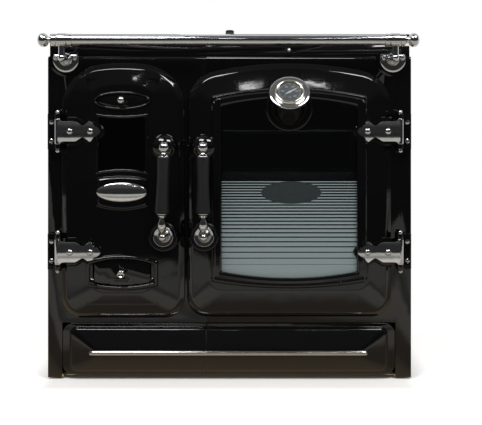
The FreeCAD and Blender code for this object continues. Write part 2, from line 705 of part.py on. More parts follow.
def hinge_strap(pin_x, side, z):
    """A chromed strap: knuckle round the pin, then a plate with a raised middle along the door."""
    low = pad_out
    mid = low + 0.55 * strap_thick
    wide_low, wide_mid = strap_wire(pin_x, side, z, 0, low), strap_wire(pin_x, side, z, 0, mid)
    plate_part = skin([wide_low, wide_mid])
    crown_part = skin([wide_mid, strap_wire(pin_x, side, z, -strap_crown_inset, low + strap_thick)])
    root0, root1 = sorted((pin_x, pin_x + side * (strap_start + 0.5)))
    root = slab(root0, root1, z - strap_root_half, z + strap_root_half, low, mid)
    knuckle = upright(pin_x, z, strap_knuckle, knuckle_r)
    hole = upright(pin_x, z, 2 * strap_knuckle, pin_r + running_fit)
    holes = [rod(on_face(pin_x + side * d, z, low - 1), on_face(pin_x + side * d, z, 2 * low), pin_r)
             for d in (rivet_near, rivet_far)]
    return joined([plate_part, crown_part, root, knuckle]).cut([hole] + holes)


def strap_rivet(x, z):
    """A domed rivet: its shank in the pad and its head on the strap."""
    top = pad_out + strap_thick
    shank = rod(on_face(x, z, pad_out), on_face(x, z, top), pin_r)
    dome = ball(on_face(x, z, top - 2), rivet_r).common(
        slab(x - 10, x + 10, z - 10, z + 10, top, top + 10))
    return joined([shank, dome])


def hinge_leaf(pin_x, side, z):
    """A fixed leaf screwed to the front casting, with a knuckle above and below the strap's."""
    edge = pin_x - side * (half_width - abs(pin_x))
    x0, x1 = sorted((edge, edge + side * leaf_wide))
    leaf = slab(x0, x1, z - leaf_half, z + leaf_half, 0, leaf_thick)
    pieces = [leaf]
    for sign in (-1, 1):
        a, b = sorted((z + sign * (strap_knuckle + air_gap), z + sign * leaf_knuckle))
        w0, w1 = sorted((edge + side * 4, pin_x))
        pieces.append(slab(w0, w1, a, b, 0, pin_out))
        pieces.append(rod(on_face(pin_x, a, pin_out), on_face(pin_x, b, pin_out), knuckle_r))
    hole = upright(pin_x, z, 2 * leaf_knuckle, pin_r)
    return joined(pieces).cut(hole)


def many_sided(x, z, radius, out):
    corners = [2 * math.pi * (i + 0.5) / leaf_screw_sides for i in range(int(leaf_screw_sides))]
    points = [on_face(x + radius * math.cos(a), z + radius * math.sin(a), out) for a in corners]
    return Part.makePolygon(points + points[:1])


def leaf_screws(pin_x, side, z):
    """The leaf's two screw heads, each a low many-sided dome."""
    x = pin_x - side * (half_width - abs(pin_x)) + side * leaf_wide / 2
    rim, shoulder_out, top = leaf_thick + 0.8, leaf_thick + 2.0, leaf_thick + leaf_screw_high
    heads = []
    for sign in (-1, 1):
        at = z + sign * leaf_screw_z
        foot, edge = many_sided(x, at, leaf_screw_r, leaf_thick), many_sided(x, at, leaf_screw_r, rim)
        waist = many_sided(x, at, 0.8 * leaf_screw_r, shoulder_out)
        crown = many_sided(x, at, 0.4 * leaf_screw_r, top)
        heads.append(joined([skin([foot, edge]), skin([edge, waist]), skin([waist, crown])]))
    return heads


def hinge_pin(pin_x, z):
    """The pin with a ball finial at each end."""
    shaft = upright(pin_x, z, leaf_knuckle, pin_r)
    balls = [ball(on_face(pin_x, z + sign * (leaf_knuckle + pin_ball_r - 1), pin_out), pin_ball_r)
             for sign in (-1, 1)]
    return joined([shaft] + balls)


hinges = [(fire_pin_x, 1, hinge_high), (fire_pin_x, 1, hinge_low),
          (oven_pin_x, -1, hinge_high), (oven_pin_x, -1, hinge_low)]
write("hinge_leaves", [hinge_leaf(*place) for place in hinges])
write("hinge_leaf_screws", [s for place in hinges for s in leaf_screws(*place)])
write("hinge_pins", [hinge_pin(x, z) for x, side, z in hinges])
write("fire_door_straps", [hinge_strap(*place) for place in hinges[:2]])
write("oven_door_straps", [hinge_strap(*place) for place in hinges[2:]])


# ---------------------------------------------------------------- door castings
def door_body(outline, field):
    """A door's solid form: square edge, steep bevel to the crest, long slope up to the raised field."""
    crest = inset(outline, bevel)
    edge = skin([arch_wire(outline, door_seat), arch_wire(outline, door_edge)])
    steep = skin([arch_wire(outline, door_edge), arch_wire(crest, crest_out)])
    slope = skin([arch_wire(crest, crest_out), arch_wire(field, field_out)])
    return joined([edge, steep, slope])


def door_hollow(outline, field):
    """The space inside a door casting, one wall thickness in from its form."""
    low = inset(outline, door_wall)
    mid = inset(outline, bevel + door_wall / 2)
    return joined([skin([arch_wire(low, door_seat - 1), arch_wire(mid, crest_out - door_wall)]),
                   skin([arch_wire(mid, crest_out - door_wall), arch_wire(inset(field, 1.0), glass_out)])])


def lever_boss(x):
    """The raised boss that carries a lever's spindle."""
    return cone(on_face(x, lever_z, door_edge), on_face(x, lever_z, boss_out), boss_base_r, boss_r)


def boss_rooms(x):
    """What is cut from a boss: the dish's recess, the spindle's hole and the tongue's room behind."""
    recess = rod(on_face(x, lever_z, boss_out - dish_recess), on_face(x, lever_z, boss_out + 1),
                 dish_r + dish_gap)
    hole = rod(on_face(x, lever_z, 0), on_face(x, lever_z, boss_out), spindle_r + running_fit)
    room = rod(on_face(x, lever_z, 0), on_face(x, lever_z, keeper_out + 1), tongue_long + tongue_room)
    return [recess, hole, room]


def rest_dome(x):
    """The dome behind a lever's upper end."""
    z = lever_z + rest_dome_z
    base = crest_out - 4
    height = rest_dome_out - base
    radius = (rest_dome_r ** 2 + height ** 2) / (2 * height)
    whole = ball(on_face(x, z, rest_dome_out - radius), radius)
    wide = 2 * rest_dome_r
    return whole.common(slab(x - wide, x + wide, z - wide, z + wide, base, rest_dome_out + 1))


def seal_rib(mid, half, low, high):
    """The cast rib that the rope seal is pressed on."""
    return frame_ring(mid, half, low, high, seal_wide, seal_thick + door_seat, glass_out)


def air_bridge(z, half_high):
    """The bar across the back of an air opening that holds the screw stud."""
    reach = half_high + bridge_lap
    low = field_out - door_wall - bridge_thick
    return slab(fire_x - bridge_wide / 2, fire_x + bridge_wide / 2, z - reach, z + reach,
                low, field_out - door_wall)


barrel_z = (barrel_low + barrel_high) / 2
barrel_half_high = (barrel_high - barrel_low) / 2 + max(barrel_low_bow, barrel_high_bow)
fire_arch = arch(fire_left, fire_right, fire_bottom, fire_top, fire_crown, fire_shoulder, fire_foot)
fire_field = arch(fire_x - fire_field_half, fire_x + fire_field_half, fire_bottom + fire_field_foot,
                  fire_top - fire_field_head, fire_crown / 2, field_corner, field_corner)
oven_arch = arch(oven_left, oven_right, oven_bottom, oven_top, oven_crown, oven_shoulder, oven_foot)
oven_field = arch(oven_left + oven_field_side, oven_right - oven_field_side, oven_bottom + oven_field_foot,
                  oven_top - oven_field_head, oven_crown, field_corner, field_corner)


def eye(grow, out):
    return ellipse_wire(fire_x, eye_z, eye_half_long + grow, eye_half_high + grow, out)


def barrel(grow, out):
    return bowed_wire(fire_x, barrel_half + grow, barrel_low - grow, barrel_high + grow,
                      barrel_low_bow, barrel_high_bow, out)


def pane(grow, out):
    return bowed_wire(fire_x, pane_half + grow, pane_low - grow, pane_high + grow,
                      pane_low_bow, pane_high_bow, out)


def light(grow, out):
    return bowed_wire(oven_x, light_half + grow, light_low - grow, light_high + grow,
                      light_low_bow, light_high_bow, out)


def raised_lip(outline, lip, rise):
    """A bead round an opening: upright outside, rounded off towards the opening."""
    low, high = field_out - door_wall, field_out + rise
    return skin([outline(lip, low), outline(lip, field_out + rise / 2)]).fuse(
        skin([outline(lip, field_out + rise / 2), outline(lip * 0.6, high)]))


def through(outline):
    return prism(outline(0, field_out + 20), 2 * field_out)


def fire_door_casting():
    band = bowed_wire(fire_x, band_half, band_low, band_high, band_low_bow, band_high_bow,
                      field_out + band_rise)
    form = [door_body(fire_arch, fire_field), lever_boss(fire_lever_x), rest_dome(fire_lever_x),
            raised_lip(eye, eye_lip, eye_lip_rise), raised_lip(barrel, barrel_lip, barrel_lip_rise),
            raised_lip(pane, pane_bead, pane_bead_rise), prism(band, band_rise + 2)]
    form += [strap_pad(fire_pin_x, 1, z, fire_arch) for z in (hinge_high, hinge_low)]
    rooms = [strap_room(fire_pin_x, 1, z) for z in (hinge_high, hinge_low)]
    oval_seat = prism(ellipse_wire(fire_x, oval_z, oval_half_long + 1, oval_half_high + 1,
                                   field_out + band_rise + 1), oval_thick / 2 + 1)
    body = joined(form).cut([door_hollow(fire_arch, fire_field), through(eye), through(barrel),
                             through(pane), oval_seat] + boss_rooms(fire_lever_x) + rooms)
    bars = [seal_rib(fire_x, fire_seal_half, fire_seal_low, fire_seal_high),
            air_bridge(eye_z, eye_half_high), air_bridge(barrel_z, barrel_half_high)]
    studs = [rod(on_face(fire_x, z, 0), on_face(fire_x, z, 2 * field_out), air_stud_r)
             for z in (eye_z, barrel_z)]
    return joined([body] + bars).cut(studs)


def gauge_collar(out):
    """The round collar under the thermometer, let into the door; it bridges the top of the window."""
    return rod(on_face(oven_x, gauge_base_z, glass_out), on_face(oven_x, gauge_base_z, out), gauge_collar_r)


def oven_door_casting():
    form = [door_body(oven_arch, oven_field), lever_boss(oven_lever_x), rest_dome(oven_lever_x),
            raised_lip(light, light_bead, light_bead_rise)]
    form += [strap_pad(oven_pin_x, -1, z, oven_arch) for z in (hinge_high, hinge_low)]
    rooms = [strap_room(oven_pin_x, -1, z) for z in (hinge_high, hinge_low)]
    body = joined(form).cut([door_hollow(oven_arch, oven_field), through(light),
                             gauge_collar(2 * gauge_collar_out)] + boss_rooms(oven_lever_x) + rooms)
    return joined([body, seal_rib(oven_x, oven_seal_half, oven_seal_low, oven_seal_high)])


write("fire_door_casting", [fire_door_casting()])
write("oven_door_casting", [oven_door_casting()])

# ---------------------------------------------------------------- glass, seals, oval plate
write("fire_door_glass", [slab(fire_x - pane_half - glass_lap, fire_x + pane_half + glass_lap,
                               pane_low - glass_lap, pane_high + glass_lap,
                               glass_out - glass_thick, glass_out)])
light_edge = oven_seal_half - seal_wide - 1
write("oven_door_glass", [slab(oven_x - light_edge, oven_x + light_edge,
                               light_low - light_low_bow - 6, light_high + light_high_bow + 1,
                               glass_out - glass_thick, glass_out)])
inner_out = glass_out - glass_thick - inner_glass_gap
inner_low, inner_high = light_low - inner_glass_lap, light_high + inner_glass_lap
write("oven_door_inner_glass", [frame_ring(oven_x, light_edge, inner_low, inner_high, spacer_wide,
                                           inner_out, glass_out - glass_thick),
                                slab(oven_x - light_edge, oven_x + light_edge, inner_low, inner_high,
                                     inner_out - glass_thick, inner_out)])
write("fire_door_rope_seal", [frame_ring(fire_x, fire_seal_half, fire_seal_low, fire_seal_high, seal_wide,
                                         door_seat, door_seat + seal_thick)])
write("oven_door_rope_seal", [frame_ring(oven_x, oven_seal_half, oven_seal_low, oven_seal_high, seal_wide,
                                         door_seat, door_seat + seal_thick)])


def oval_plate():
    """A domed oval plate, bare."""
    low = field_out + band_rise - oval_thick / 2

    def oval(share_long, share_high, out):
        return ellipse_wire(fire_x, oval_z, share_long * oval_half_long, share_high * oval_half_high, out)
    edge = skin([oval(1, 1, low), oval(1, 1, low + oval_thick / 2)])
    return edge.fuse(skin([oval(1, 1, low + oval_thick / 2), oval(0.82, 0.7, low + 1.6 * oval_thick)]))


write("fire_door_oval_plate", [oval_plate()])


# ---------------------------------------------------------------- air registers
def air_stud(z):
    """The screw stud that the knob runs on, fixed in the bridge."""
    return rod(on_face(fire_x, z, field_out - door_wall - bridge_thick),
               on_face(fire_x, z, field_out + air_stud_reach), air_stud_r)


def air_knob(z):
    """A turned knob with a blind threaded hole on the stud."""
    base = field_out - shutter_sink + air_gap
    neck = rod(on_face(fire_x, z, base), on_face(fire_x, z, base + 8), 7.0)
    head = ball(on_face(fire_x, z, base + 7 + air_knob_r), air_knob_r)
    hole = rod(on_face(fire_x, z, base - 1), on_face(fire_x, z, field_out + air_stud_reach + 1),
               air_stud_r + running_fit)
    return joined([neck, head]).cut(hole)


def shutter(outline, z):
    face = field_out - shutter_sink
    body = prism(outline(-shutter_gap, face), shutter_thick)
    return body.cut(rod(on_face(fire_x, z, 0), on_face(fire_x, z, 2 * field_out), air_stud_r + running_fit))


write("upper_air_shutter", [shutter(eye, eye_z)])
write("upper_air_knob", [air_knob(eye_z)])
write("lower_air_shutter", [shutter(barrel, barrel_z)])
write("lower_air_knob", [air_knob(barrel_z)])
write("fire_door_fasteners",
      [strap_rivet(fire_pin_x + d, z) for d in (rivet_near, rivet_far) for z in (hinge_high, hinge_low)]
      + [air_stud(eye_z), air_stud(barrel_z)])
write("oven_door_rivets",
      [strap_rivet(oven_pin_x - d, z) for d in (rivet_near, rivet_far) for z in (hinge_high, hinge_low)])


# ---------------------------------------------------------------- latch levers
def lever_spindle(x, side, lean):
    """Spindle through the door with the tongue behind, a ball in front, and the bent bar in the grip."""
    spindle = rod(on_face(x, lever_z, tongue_low), on_face(x, lever_z, lever_ball_out), spindle_r)
    tip = x + side * tongue_long
    t0, t1 = sorted((x, tip))
    tongue = slab(t0, t1, lever_z - tongue_wide / 2, lever_z + tongue_wide / 2, tongue_low, tongue_high)
    hub = rod(on_face(x, lever_z, tongue_low), on_face(x, lever_z, tongue_high), spindle_r + 1.5)
    head = ball(on_face(x, lever_z, lever_ball_out), lever_ball_r)
    knee = on_face(x, lever_z + grip_low - 16, grip_out)
    neck = cone(on_face(x, lever_z + 4, lever_ball_out), knee, 5.0, 6.5)
    bend = ball(knee, 6.5)
    tang = rod(knee, on_face(x, lever_z + grip_high + 6, grip_out), tang_r)
    lever = joined([head, neck, bend, tang])
    lever.rotate(on_face(x, lever_z, 0), Vec(0, 1, 0), lean)
    return joined([spindle, tongue, hub, lever])


def lever_fittings(x, lean):
    """Chrome dish round the spindle, ferrule under the grip, bell and ball on top of it."""
    dish_low = boss_out - dish_recess + air_gap
    dish = cone(on_face(x, lever_z, dish_low), on_face(x, lever_z, dish_low + 3), dish_r, dish_r - 1)
    hollow = cone(on_face(x, lever_z, dish_low + 1.5), on_face(x, lever_z, dish_low + 3.1), 8.0, dish_r - 4)
    dish = dish.cut([hollow, rod(on_face(x, lever_z, 0), on_face(x, lever_z, grip_out), spindle_r)])

    def at(rise):
        return on_face(x, lever_z + rise, grip_out)
    collar = joined([cone(at(grip_low - 10), at(grip_low - 5), 8.0, ferrule_r),
                     rod(at(grip_low - 5), at(grip_low), ferrule_r + 1.5)])
    bell = joined([rod(at(grip_high), at(grip_high + 3), bell_r),
                   cone(at(grip_high + 3), at(grip_high + 12), bell_r - 2, 7.0),
                   ball(at(grip_high + 10 + top_ball_r), top_ball_r)])
    bar = rod(at(0), at(grip_high + 6), tang_r)
    collar, bell = collar.cut(bar), bell.cut(bar)
    for piece in (collar, bell):
        piece.rotate(on_face(x, lever_z, 0), Vec(0, 1, 0), lean)
    return [dish, collar, bell]


def lever_grip(x, lean):
    """A turned black grip with a slight waist, on the lever's bar."""
    mid = (grip_low + grip_high) / 2

    def at(rise):
        return on_face(x, lever_z + rise, grip_out)
    grip = joined([cone(at(grip_low), at(mid), grip_r_low, grip_r_mid),
                   cone(at(mid), at(grip_high), grip_r_mid, grip_r_high)])
    grip = grip.cut(rod(at(0), at(2 * grip_high), tang_r))
    grip.rotate(on_face(x, lever_z, 0), Vec(0, 1, 0), lean)
    return grip


def keeper(x, side):
    """A hooked keeper screwed to the front casting; the tongue turns in behind its lip."""
    tip = x + side * tongue_long
    post0, post1 = sorted((tip + side, tip + side * (1 + keeper_thick)))
    lip0, lip1 = sorted((tip + side * (1 + keeper_thick), tip - side * keeper_lap))
    z0, z1 = lever_z - keeper_half, lever_z + keeper_half
    post = slab(post0, post1, z0, z1, 0, keeper_out)
    lip = slab(lip0, lip1, z0, z1, lip_low, keeper_out)
    return joined([post, lip])


write("fire_latch_spindle", [lever_spindle(fire_lever_x, 1, lever_lean)])
write("fire_handle_fittings", lever_fittings(fire_lever_x, lever_lean))
write("fire_handle_grip", [lever_grip(fire_lever_x, lever_lean)])
write("oven_latch_spindle", [lever_spindle(oven_lever_x, -1, 0.0)])
write("oven_handle_fittings", lever_fittings(oven_lever_x, 0.0))
write("oven_handle_grip", [lever_grip(oven_lever_x, 0.0)])
write("door_keepers", [keeper(fire_lever_x, 1), keeper(oven_lever_x, -1)])

# ---------------------------------------------------------------- thermometer
gauge_centre = on_face(oven_x, gauge_z, gauge_out)


def on_gauge(along):
    """A point on the thermometer's axis, along mm in front of the flange's back."""
    return gauge_centre + gauge_axis * along


def gauge_housing():
    """Round collar on the door and a tilted neck that carries the thermometer's head."""
    neck = rod(on_gauge(-gauge_out), on_gauge(0), gauge_neck_r)
    keep = slab(oven_left, oven_right, oven_bottom, hob_top, glass_out, 2 * gauge_out)
    return joined([gauge_collar(gauge_collar_out), neck.common(keep)])


def ring_on_gauge(low, high, outer_r, inner_r):
    hole = rod(on_gauge(low - 1), on_gauge(high + 1), inner_r)
    return rod(on_gauge(low), on_gauge(high), outer_r).cut(hole)


def needle():
    """A flat pointer on a short shaft, at its resting reading."""
    low = gauge_flange_thick - 1 + gauge_dial_thick + air_gap
    pointer = block(-needle_long / 3, needle_long, -needle_wide / 2, needle_wide / 2,
                    low, low + needle_thick)
    hub = Part.makeCylinder(3.0, needle_thick + 0.6, Vec(0, 0, low))
    shaft = Part.makeCylinder(1.0, gauge_dial_thick + 1.4, Vec(0, 0, gauge_flange_thick - 1.8))
    body = joined([pointer, hub, shaft])
    body.rotate(Vec(0, 0, 0), Vec(0, 0, 1), needle_angle)
    body.rotate(Vec(0, 0, 0), Vec(1, 0, 0), 90 - gauge_tilt)
    body.translate(gauge_centre)
    return body


dial_low = gauge_flange_thick - 1
shaft_hole = rod(on_gauge(-3), on_gauge(20), 1.0 + running_fit)
write("thermometer_housing", [gauge_housing()])
write("thermometer_bezel", [joined([ring_on_gauge(0, gauge_flange_thick, gauge_flange_r, gauge_dial_r - 1)
                                    .cut(rod(on_gauge(dial_low), on_gauge(20), gauge_dial_r)),
                                    ring_on_gauge(gauge_flange_thick, gauge_bezel_high, gauge_bezel_r,
                                                  gauge_dial_r)])])
dial_top = dial_low + gauge_dial_thick
write("thermometer_dial", [joined([rod(on_gauge(dial_low), on_gauge(dial_top), gauge_dial_r),
                                   rod(on_gauge(0), on_gauge(dial_low), gauge_dial_r - 1)]).cut(shaft_hole)])
write("thermometer_glass", [rod(on_gauge(gauge_bezel_high - gauge_glass_thick), on_gauge(gauge_bezel_high),
                                gauge_dial_r)])
write("thermometer_needle", [needle()])


# ---------------------------------------------------------------- towel rail
def rail_bracket(side):
    """Half-round backplate with two small bosses, a cup and a bent arm up to the rail's collar."""
    x = side * bracket_x
    low = bracket_pad_thick
    disc = rod(on_face(x, bracket_z, low), on_face(x, bracket_z, low + bracket_thick), bracket_r)
    disc = disc.common(slab(x - bracket_pad_r, x + bracket_pad_r, bracket_z - bracket_pad_r,
                            bracket_z + bracket_cut, 0, rail_out))
    ears = [ball(on_face(x + s * bracket_ear_x, bracket_z + 3, low + bracket_thick + 1.3), bracket_ear_r)
            for s in (-1, 1)]
    arm = cone(on_face(x, bracket_z, low + 2), on_face(x, bracket_z, rail_out), bracket_cup_r, bracket_arm_r)
    elbow = ball(on_face(x, bracket_z, rail_out), bracket_arm_r + 1.5)
    post = rod(on_face(x, bracket_z, rail_out), on_face(x, rail_z, rail_out), bracket_arm_r)
    half = bracket_collar_long / 2
    collar = rod(on_face(x - half, rail_z, rail_out), on_face(x + half, rail_z, rail_out), bracket_collar_r)
    bore = rod(on_face(x - 2 * half, rail_z, rail_out), on_face(x + 2 * half, rail_z, rail_out), rail_r)
    return joined([disc] + ears + [arm, elbow, post, collar]).cut(bore)


def bun(centre, radius, half_long):
    """A ball pressed flat along X: two shallow caps and a rounded rim between them."""
    rim = (radius ** 2 + half_long ** 2) / (2 * half_long)
    caps = [ball(centre + Vec(s * (half_long - rim), 0, 0), rim) for s in (-1, 1)]
    return caps[0].common(caps[1])


def rail_end(side):
    """The rail's end: a collar each side of the bracket, a neck and a ball."""
    x = side * bracket_x

    def at(d):
        return on_face(x + side * d, rail_z, rail_out)
    half = bracket_collar_long / 2
    bore = rod(at(-2 * half - side_collar_long), on_face(side * rail_half, rail_z, rail_out), rail_r)
    inner = rod(at(-half - side_collar_long), at(-half), side_collar_r).cut(bore)
    cap_end = half + side_collar_long
    bun_at = cap_end + finial_neck_long + finial_half_long - 1
    outer = joined([rod(at(half), at(cap_end), side_collar_r),
                    rod(at(cap_end), at(bun_at), finial_neck_r),
                    bun(at(bun_at), finial_r, finial_half_long)]).cut(bore)
    return [inner, outer]


write("rail_tube", [rod(on_face(-rail_half, rail_z, rail_out), on_face(rail_half, rail_z, rail_out),
                        rail_r)])
write("rail_brackets", [rail_bracket(-1), rail_bracket(1)])
write("rail_finials", rail_end(-1) + rail_end(1))


# ---------------------------------------------------------------- log drawer
def rounded_wire(x0, x1, z0, z1, radius, out):
    return Part.Wire([
        Part.LineSegment(on_face(x0 + radius, z0, out), on_face(x1 - radius, z0, out)).toShape(),
        arc(x1 - radius, z0 + radius, radius, -90, 0, out),
        Part.LineSegment(on_face(x1, z0 + radius, out), on_face(x1, z1 - radius, out)).toShape(),
        arc(x1 - radius, z1 - radius, radius, 0, 90, out),
        Part.LineSegment(on_face(x1 - radius, z1, out), on_face(x0 + radius, z1, out)).toShape(),
        arc(x0 + radius, z1 - radius, radius, 90, 180, out),
        Part.LineSegment(on_face(x0, z1 - radius, out), on_face(x0, z0 + radius, out)).toShape(),
        arc(x0 + radius, z0 + radius, radius, 180, 270, out)])


def drawer_face():
    """The drawer's cast front in one: a flat rim and a hipped field that rises to a long ridge."""
    rim = prism(rounded_wire(drawer_left, drawer_right, drawer_low, drawer_high, drawer_corner,
                             drawer_rim_out), drawer_rim_out - drawer_back_out)
    x0, x1 = drawer_left + drawer_field_side, drawer_right - drawer_field_side
    z0, z1 = drawer_low + drawer_field_side / 3, drawer_high - drawer_field_side / 2
    low, step = drawer_rim_out, drawer_rim_out + drawer_field_rise
    edge = skin([rounded_wire(x0, x1, z0, z1, drawer_corner / 2, low - 1),
                 rounded_wire(x0 + 4, x1 - 4, z0 + 4, z1 - 4, drawer_corner / 2 - 4, step)])
    hip = skin([rounded_wire(x0 + 4, x1 - 4, z0 + 4, z1 - 4, drawer_corner / 2 - 4, step),
                rounded_wire(x0 + ridge_end, x1 - ridge_end, ridge_z - ridge_half_high,
                             ridge_z + ridge_half_high, 4.0, ridge_out)])
    return joined([rim, edge, hip])


def beside_seam(x0, x1):
    """The room on one side of the seam, for cutting the drawer's face in two."""
    return slab(x0, x1, 0, 2 * drawer_high, 2 * drawer_back_out, 2 * ridge_out)


strip_mid = (drawer_left + drawer_right) / 2
strip_half = (drawer_right - drawer_left) / 2 - strip_end_gap
face_whole = drawer_face()
write("drawer_front_left", [face_whole.common(beside_seam(-body_width, seam_x - seam / 2))])
write("drawer_front_right", [face_whole.common(beside_seam(seam_x + seam / 2, body_width))])
box_front_y = face_y - drawer_back_out
write("drawer_box", open_box(box_left, box_right, box_front_y, box_front_y + box_long,
                             box_floor, box_floor + box_high, box_wall))


def drawer_strip():
    """A half-round chromed strip along the ridge, which is also the drawer's pull."""
    bar = rod(on_face(strip_mid - strip_half, ridge_z, ridge_out),
              on_face(strip_mid + strip_half, ridge_z, ridge_out), strip_r)
    return bar.common(slab(-body_width, body_width, 0, drawer_high, ridge_out, 2 * ridge_out))


write("drawer_strip", [drawer_strip()])
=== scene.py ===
import math

import bmesh
import bpy
import numpy as np
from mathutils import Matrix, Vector


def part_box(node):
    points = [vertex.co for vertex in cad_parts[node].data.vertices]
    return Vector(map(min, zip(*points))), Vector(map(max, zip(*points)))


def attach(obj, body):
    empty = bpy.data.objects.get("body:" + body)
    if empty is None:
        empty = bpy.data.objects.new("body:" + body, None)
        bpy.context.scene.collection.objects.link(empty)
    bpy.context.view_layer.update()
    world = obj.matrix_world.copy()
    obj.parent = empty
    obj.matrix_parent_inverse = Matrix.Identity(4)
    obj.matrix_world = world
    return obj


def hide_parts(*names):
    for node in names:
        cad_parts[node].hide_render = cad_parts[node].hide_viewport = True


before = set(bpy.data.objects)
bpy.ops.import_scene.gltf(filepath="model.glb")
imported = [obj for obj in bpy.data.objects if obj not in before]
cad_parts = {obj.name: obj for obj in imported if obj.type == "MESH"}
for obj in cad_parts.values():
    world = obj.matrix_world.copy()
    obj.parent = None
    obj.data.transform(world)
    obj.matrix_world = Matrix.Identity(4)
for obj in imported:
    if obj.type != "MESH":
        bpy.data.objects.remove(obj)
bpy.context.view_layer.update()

# ------------------------------------------------------------------ side and back panels, chassis, feet
# Folded sheet-steel panels and a welded chassis, painted satin black before the castings go on.
# Spray paint on sheet: an even satin surface with a faint texture of fine droplets.


def linear(code):
    """An sRGB hex colour as the linear colour that shaders take: low values divided, the rest to the power 2.4."""
    part = np.array([int(code[i:i + 2], 16) for i in (1, 3, 5)]) / 255
    flat = np.where(part <= 0.04045, part / 12.92, ((part + 0.055) / 1.055) ** 2.4)
    return (*flat.tolist(), 1.0)


def add(tree, kind, sockets=(), **settings):
    """Adds a node. settings are its own properties; sockets maps input names to values or to other outputs."""
    node = tree.nodes.new(kind)
    for name, value in settings.items():
        setattr(node, name, value)
    for name, value in dict(sockets).items():
        if isinstance(value, bpy.types.NodeSocket):
            tree.links.new(value, node.inputs[name])
        else:
            node.inputs[name].default_value = value
    return node


def new_finish(name):
    """An empty material: its node tree, the position of each point on the piece in metres, and its output."""
    made = bpy.data.materials.new(name)
    made.use_nodes = True
    made.node_tree.nodes.clear()
    place = add(made.node_tree, "ShaderNodeTexCoord").outputs["Object"]
    return made, made.node_tree, place, add(made.node_tree, "ShaderNodeOutputMaterial")


def clouded(name, tones, cloud, rough, grain=None, sockets=()):
    """A finish that drifts in soft clouds, given as (mm across, detail): its colour between two tones, or one
    tone, and its roughness between two values, or one. A grain is (mm across, detail, strength, height in mm)."""
    made, tree, place, out = new_finish(name)
    drift = add(tree, "ShaderNodeTexNoise", {"Vector": place, "Scale": 1000 / cloud[0], "Detail": cloud[1]})
    given = {"Base Color": linear(tones[0]), "Roughness": rough[0], **dict(sockets)}
    if len(tones) > 1:
        tone = add(tree, "ShaderNodeMix", {"Factor": drift.outputs["Fac"], "A": linear(tones[0]),
                                           "B": linear(tones[1])}, data_type="RGBA")
        given["Base Color"] = tone.outputs["Result"]
    if len(rough) > 1:
        matt = add(tree, "ShaderNodeMapRange", {"Value": drift.outputs["Fac"], "To Min": rough[0],
                                                "To Max": rough[1]})
        given["Roughness"] = matt.outputs["Result"]
    if grain:
        fine = add(tree, "ShaderNodeTexNoise", {"Vector": place, "Scale": 1000 / grain[0], "Detail": grain[1]})
        relief = add(tree, "ShaderNodeBump", {"Height": fine.outputs["Fac"], "Strength": grain[2],
                                              "Distance": grain[3] / 1000})
        given["Normal"] = relief.outputs["Normal"]
    skin = add(tree, "ShaderNodeBsdfPrincipled", given)
    tree.links.new(skin.outputs["BSDF"], out.inputs["Surface"])
    return made


satin_paint = clouded("satin_black_paint_on_sheet_steel", ("#18181a", "#202022"), (90, 3.0), (0.34, 0.46),
                      grain=(1.2, 2.0, 0.12, 0.3))


def softened(node, name, finish, edge, body="cooker", turn=30):
    """A CAD node of flat faces with its sharp edges rounded off: its mesh is copied, the doubled corners are
    merged, flat triangles are joined into whole faces, and each edge sharper than turn degrees gets an arc."""
    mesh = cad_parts[node].data.copy()
    work = bmesh.new()
    work.from_mesh(mesh)
    bmesh.ops.remove_doubles(work, verts=work.verts, dist=1e-6)
    bmesh.ops.dissolve_limit(work, angle_limit=math.radians(1), verts=work.verts, edges=work.edges)
    work.to_mesh(mesh)
    work.free()
    mesh.materials.clear()
    mesh.materials.append(finish)
    made = bpy.data.objects.new(name, mesh)
    bpy.context.scene.collection.objects.link(made)
    mesh.polygons.foreach_set("use_smooth", np.ones(len(mesh.polygons), bool))
    rounding = made.modifiers.new("edges", "BEVEL")
    rounding.width, rounding.segments = edge / 1000, 2
    rounding.limit_method, rounding.angle_limit = "ANGLE", math.radians(turn)
    rounding.harden_normals = True
    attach(made, body)
    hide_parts(node)
    return made


def paint(finish, *nodes):
    """CAD nodes that stay as they are take this finish."""
    for node in nodes:
        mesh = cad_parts[node].data
        mesh.materials.clear()
        mesh.materials.append(finish)


softened("side_panel_left", "panel_left", satin_paint, 0.8)
softened("side_panel_right", "panel_right", satin_paint, 0.8)
softened("back_panel", "panel_back", satin_paint, 0.8)
paint(satin_paint, "base_frame")

# Pressed steel pads under the chassis, zinc plated: pale grey with a soft, slightly mottled shine.
zinc, tree, place, out = new_finish("bright_zinc_plated_steel")
mottle = add(tree, "ShaderNodeTexVoronoi", {"Vector": place, "Scale": 1 / 0.006})
rough = add(tree, "ShaderNodeMapRange", {"Value": mottle.outputs["Distance"], "To Min": 0.28, "To Max": 0.42})
skin = add(tree, "ShaderNodeBsdfPrincipled", {"Base Color": linear("#a9abad"), "Metallic": 1.0,
                                              "Roughness": rough.outputs["Result"]})
tree.links.new(skin.outputs["BSDF"], out.inputs["Surface"])
paint(zinc, "levelling_feet", "door_keepers")

# ------------------------------------------------------------------ front castings
# Two iron castings side by side, ground, then fired with black glass enamel. The glaze is deep and very
# glossy, and it follows the iron under it, so reflections waver a little. They meet at a fine joint.

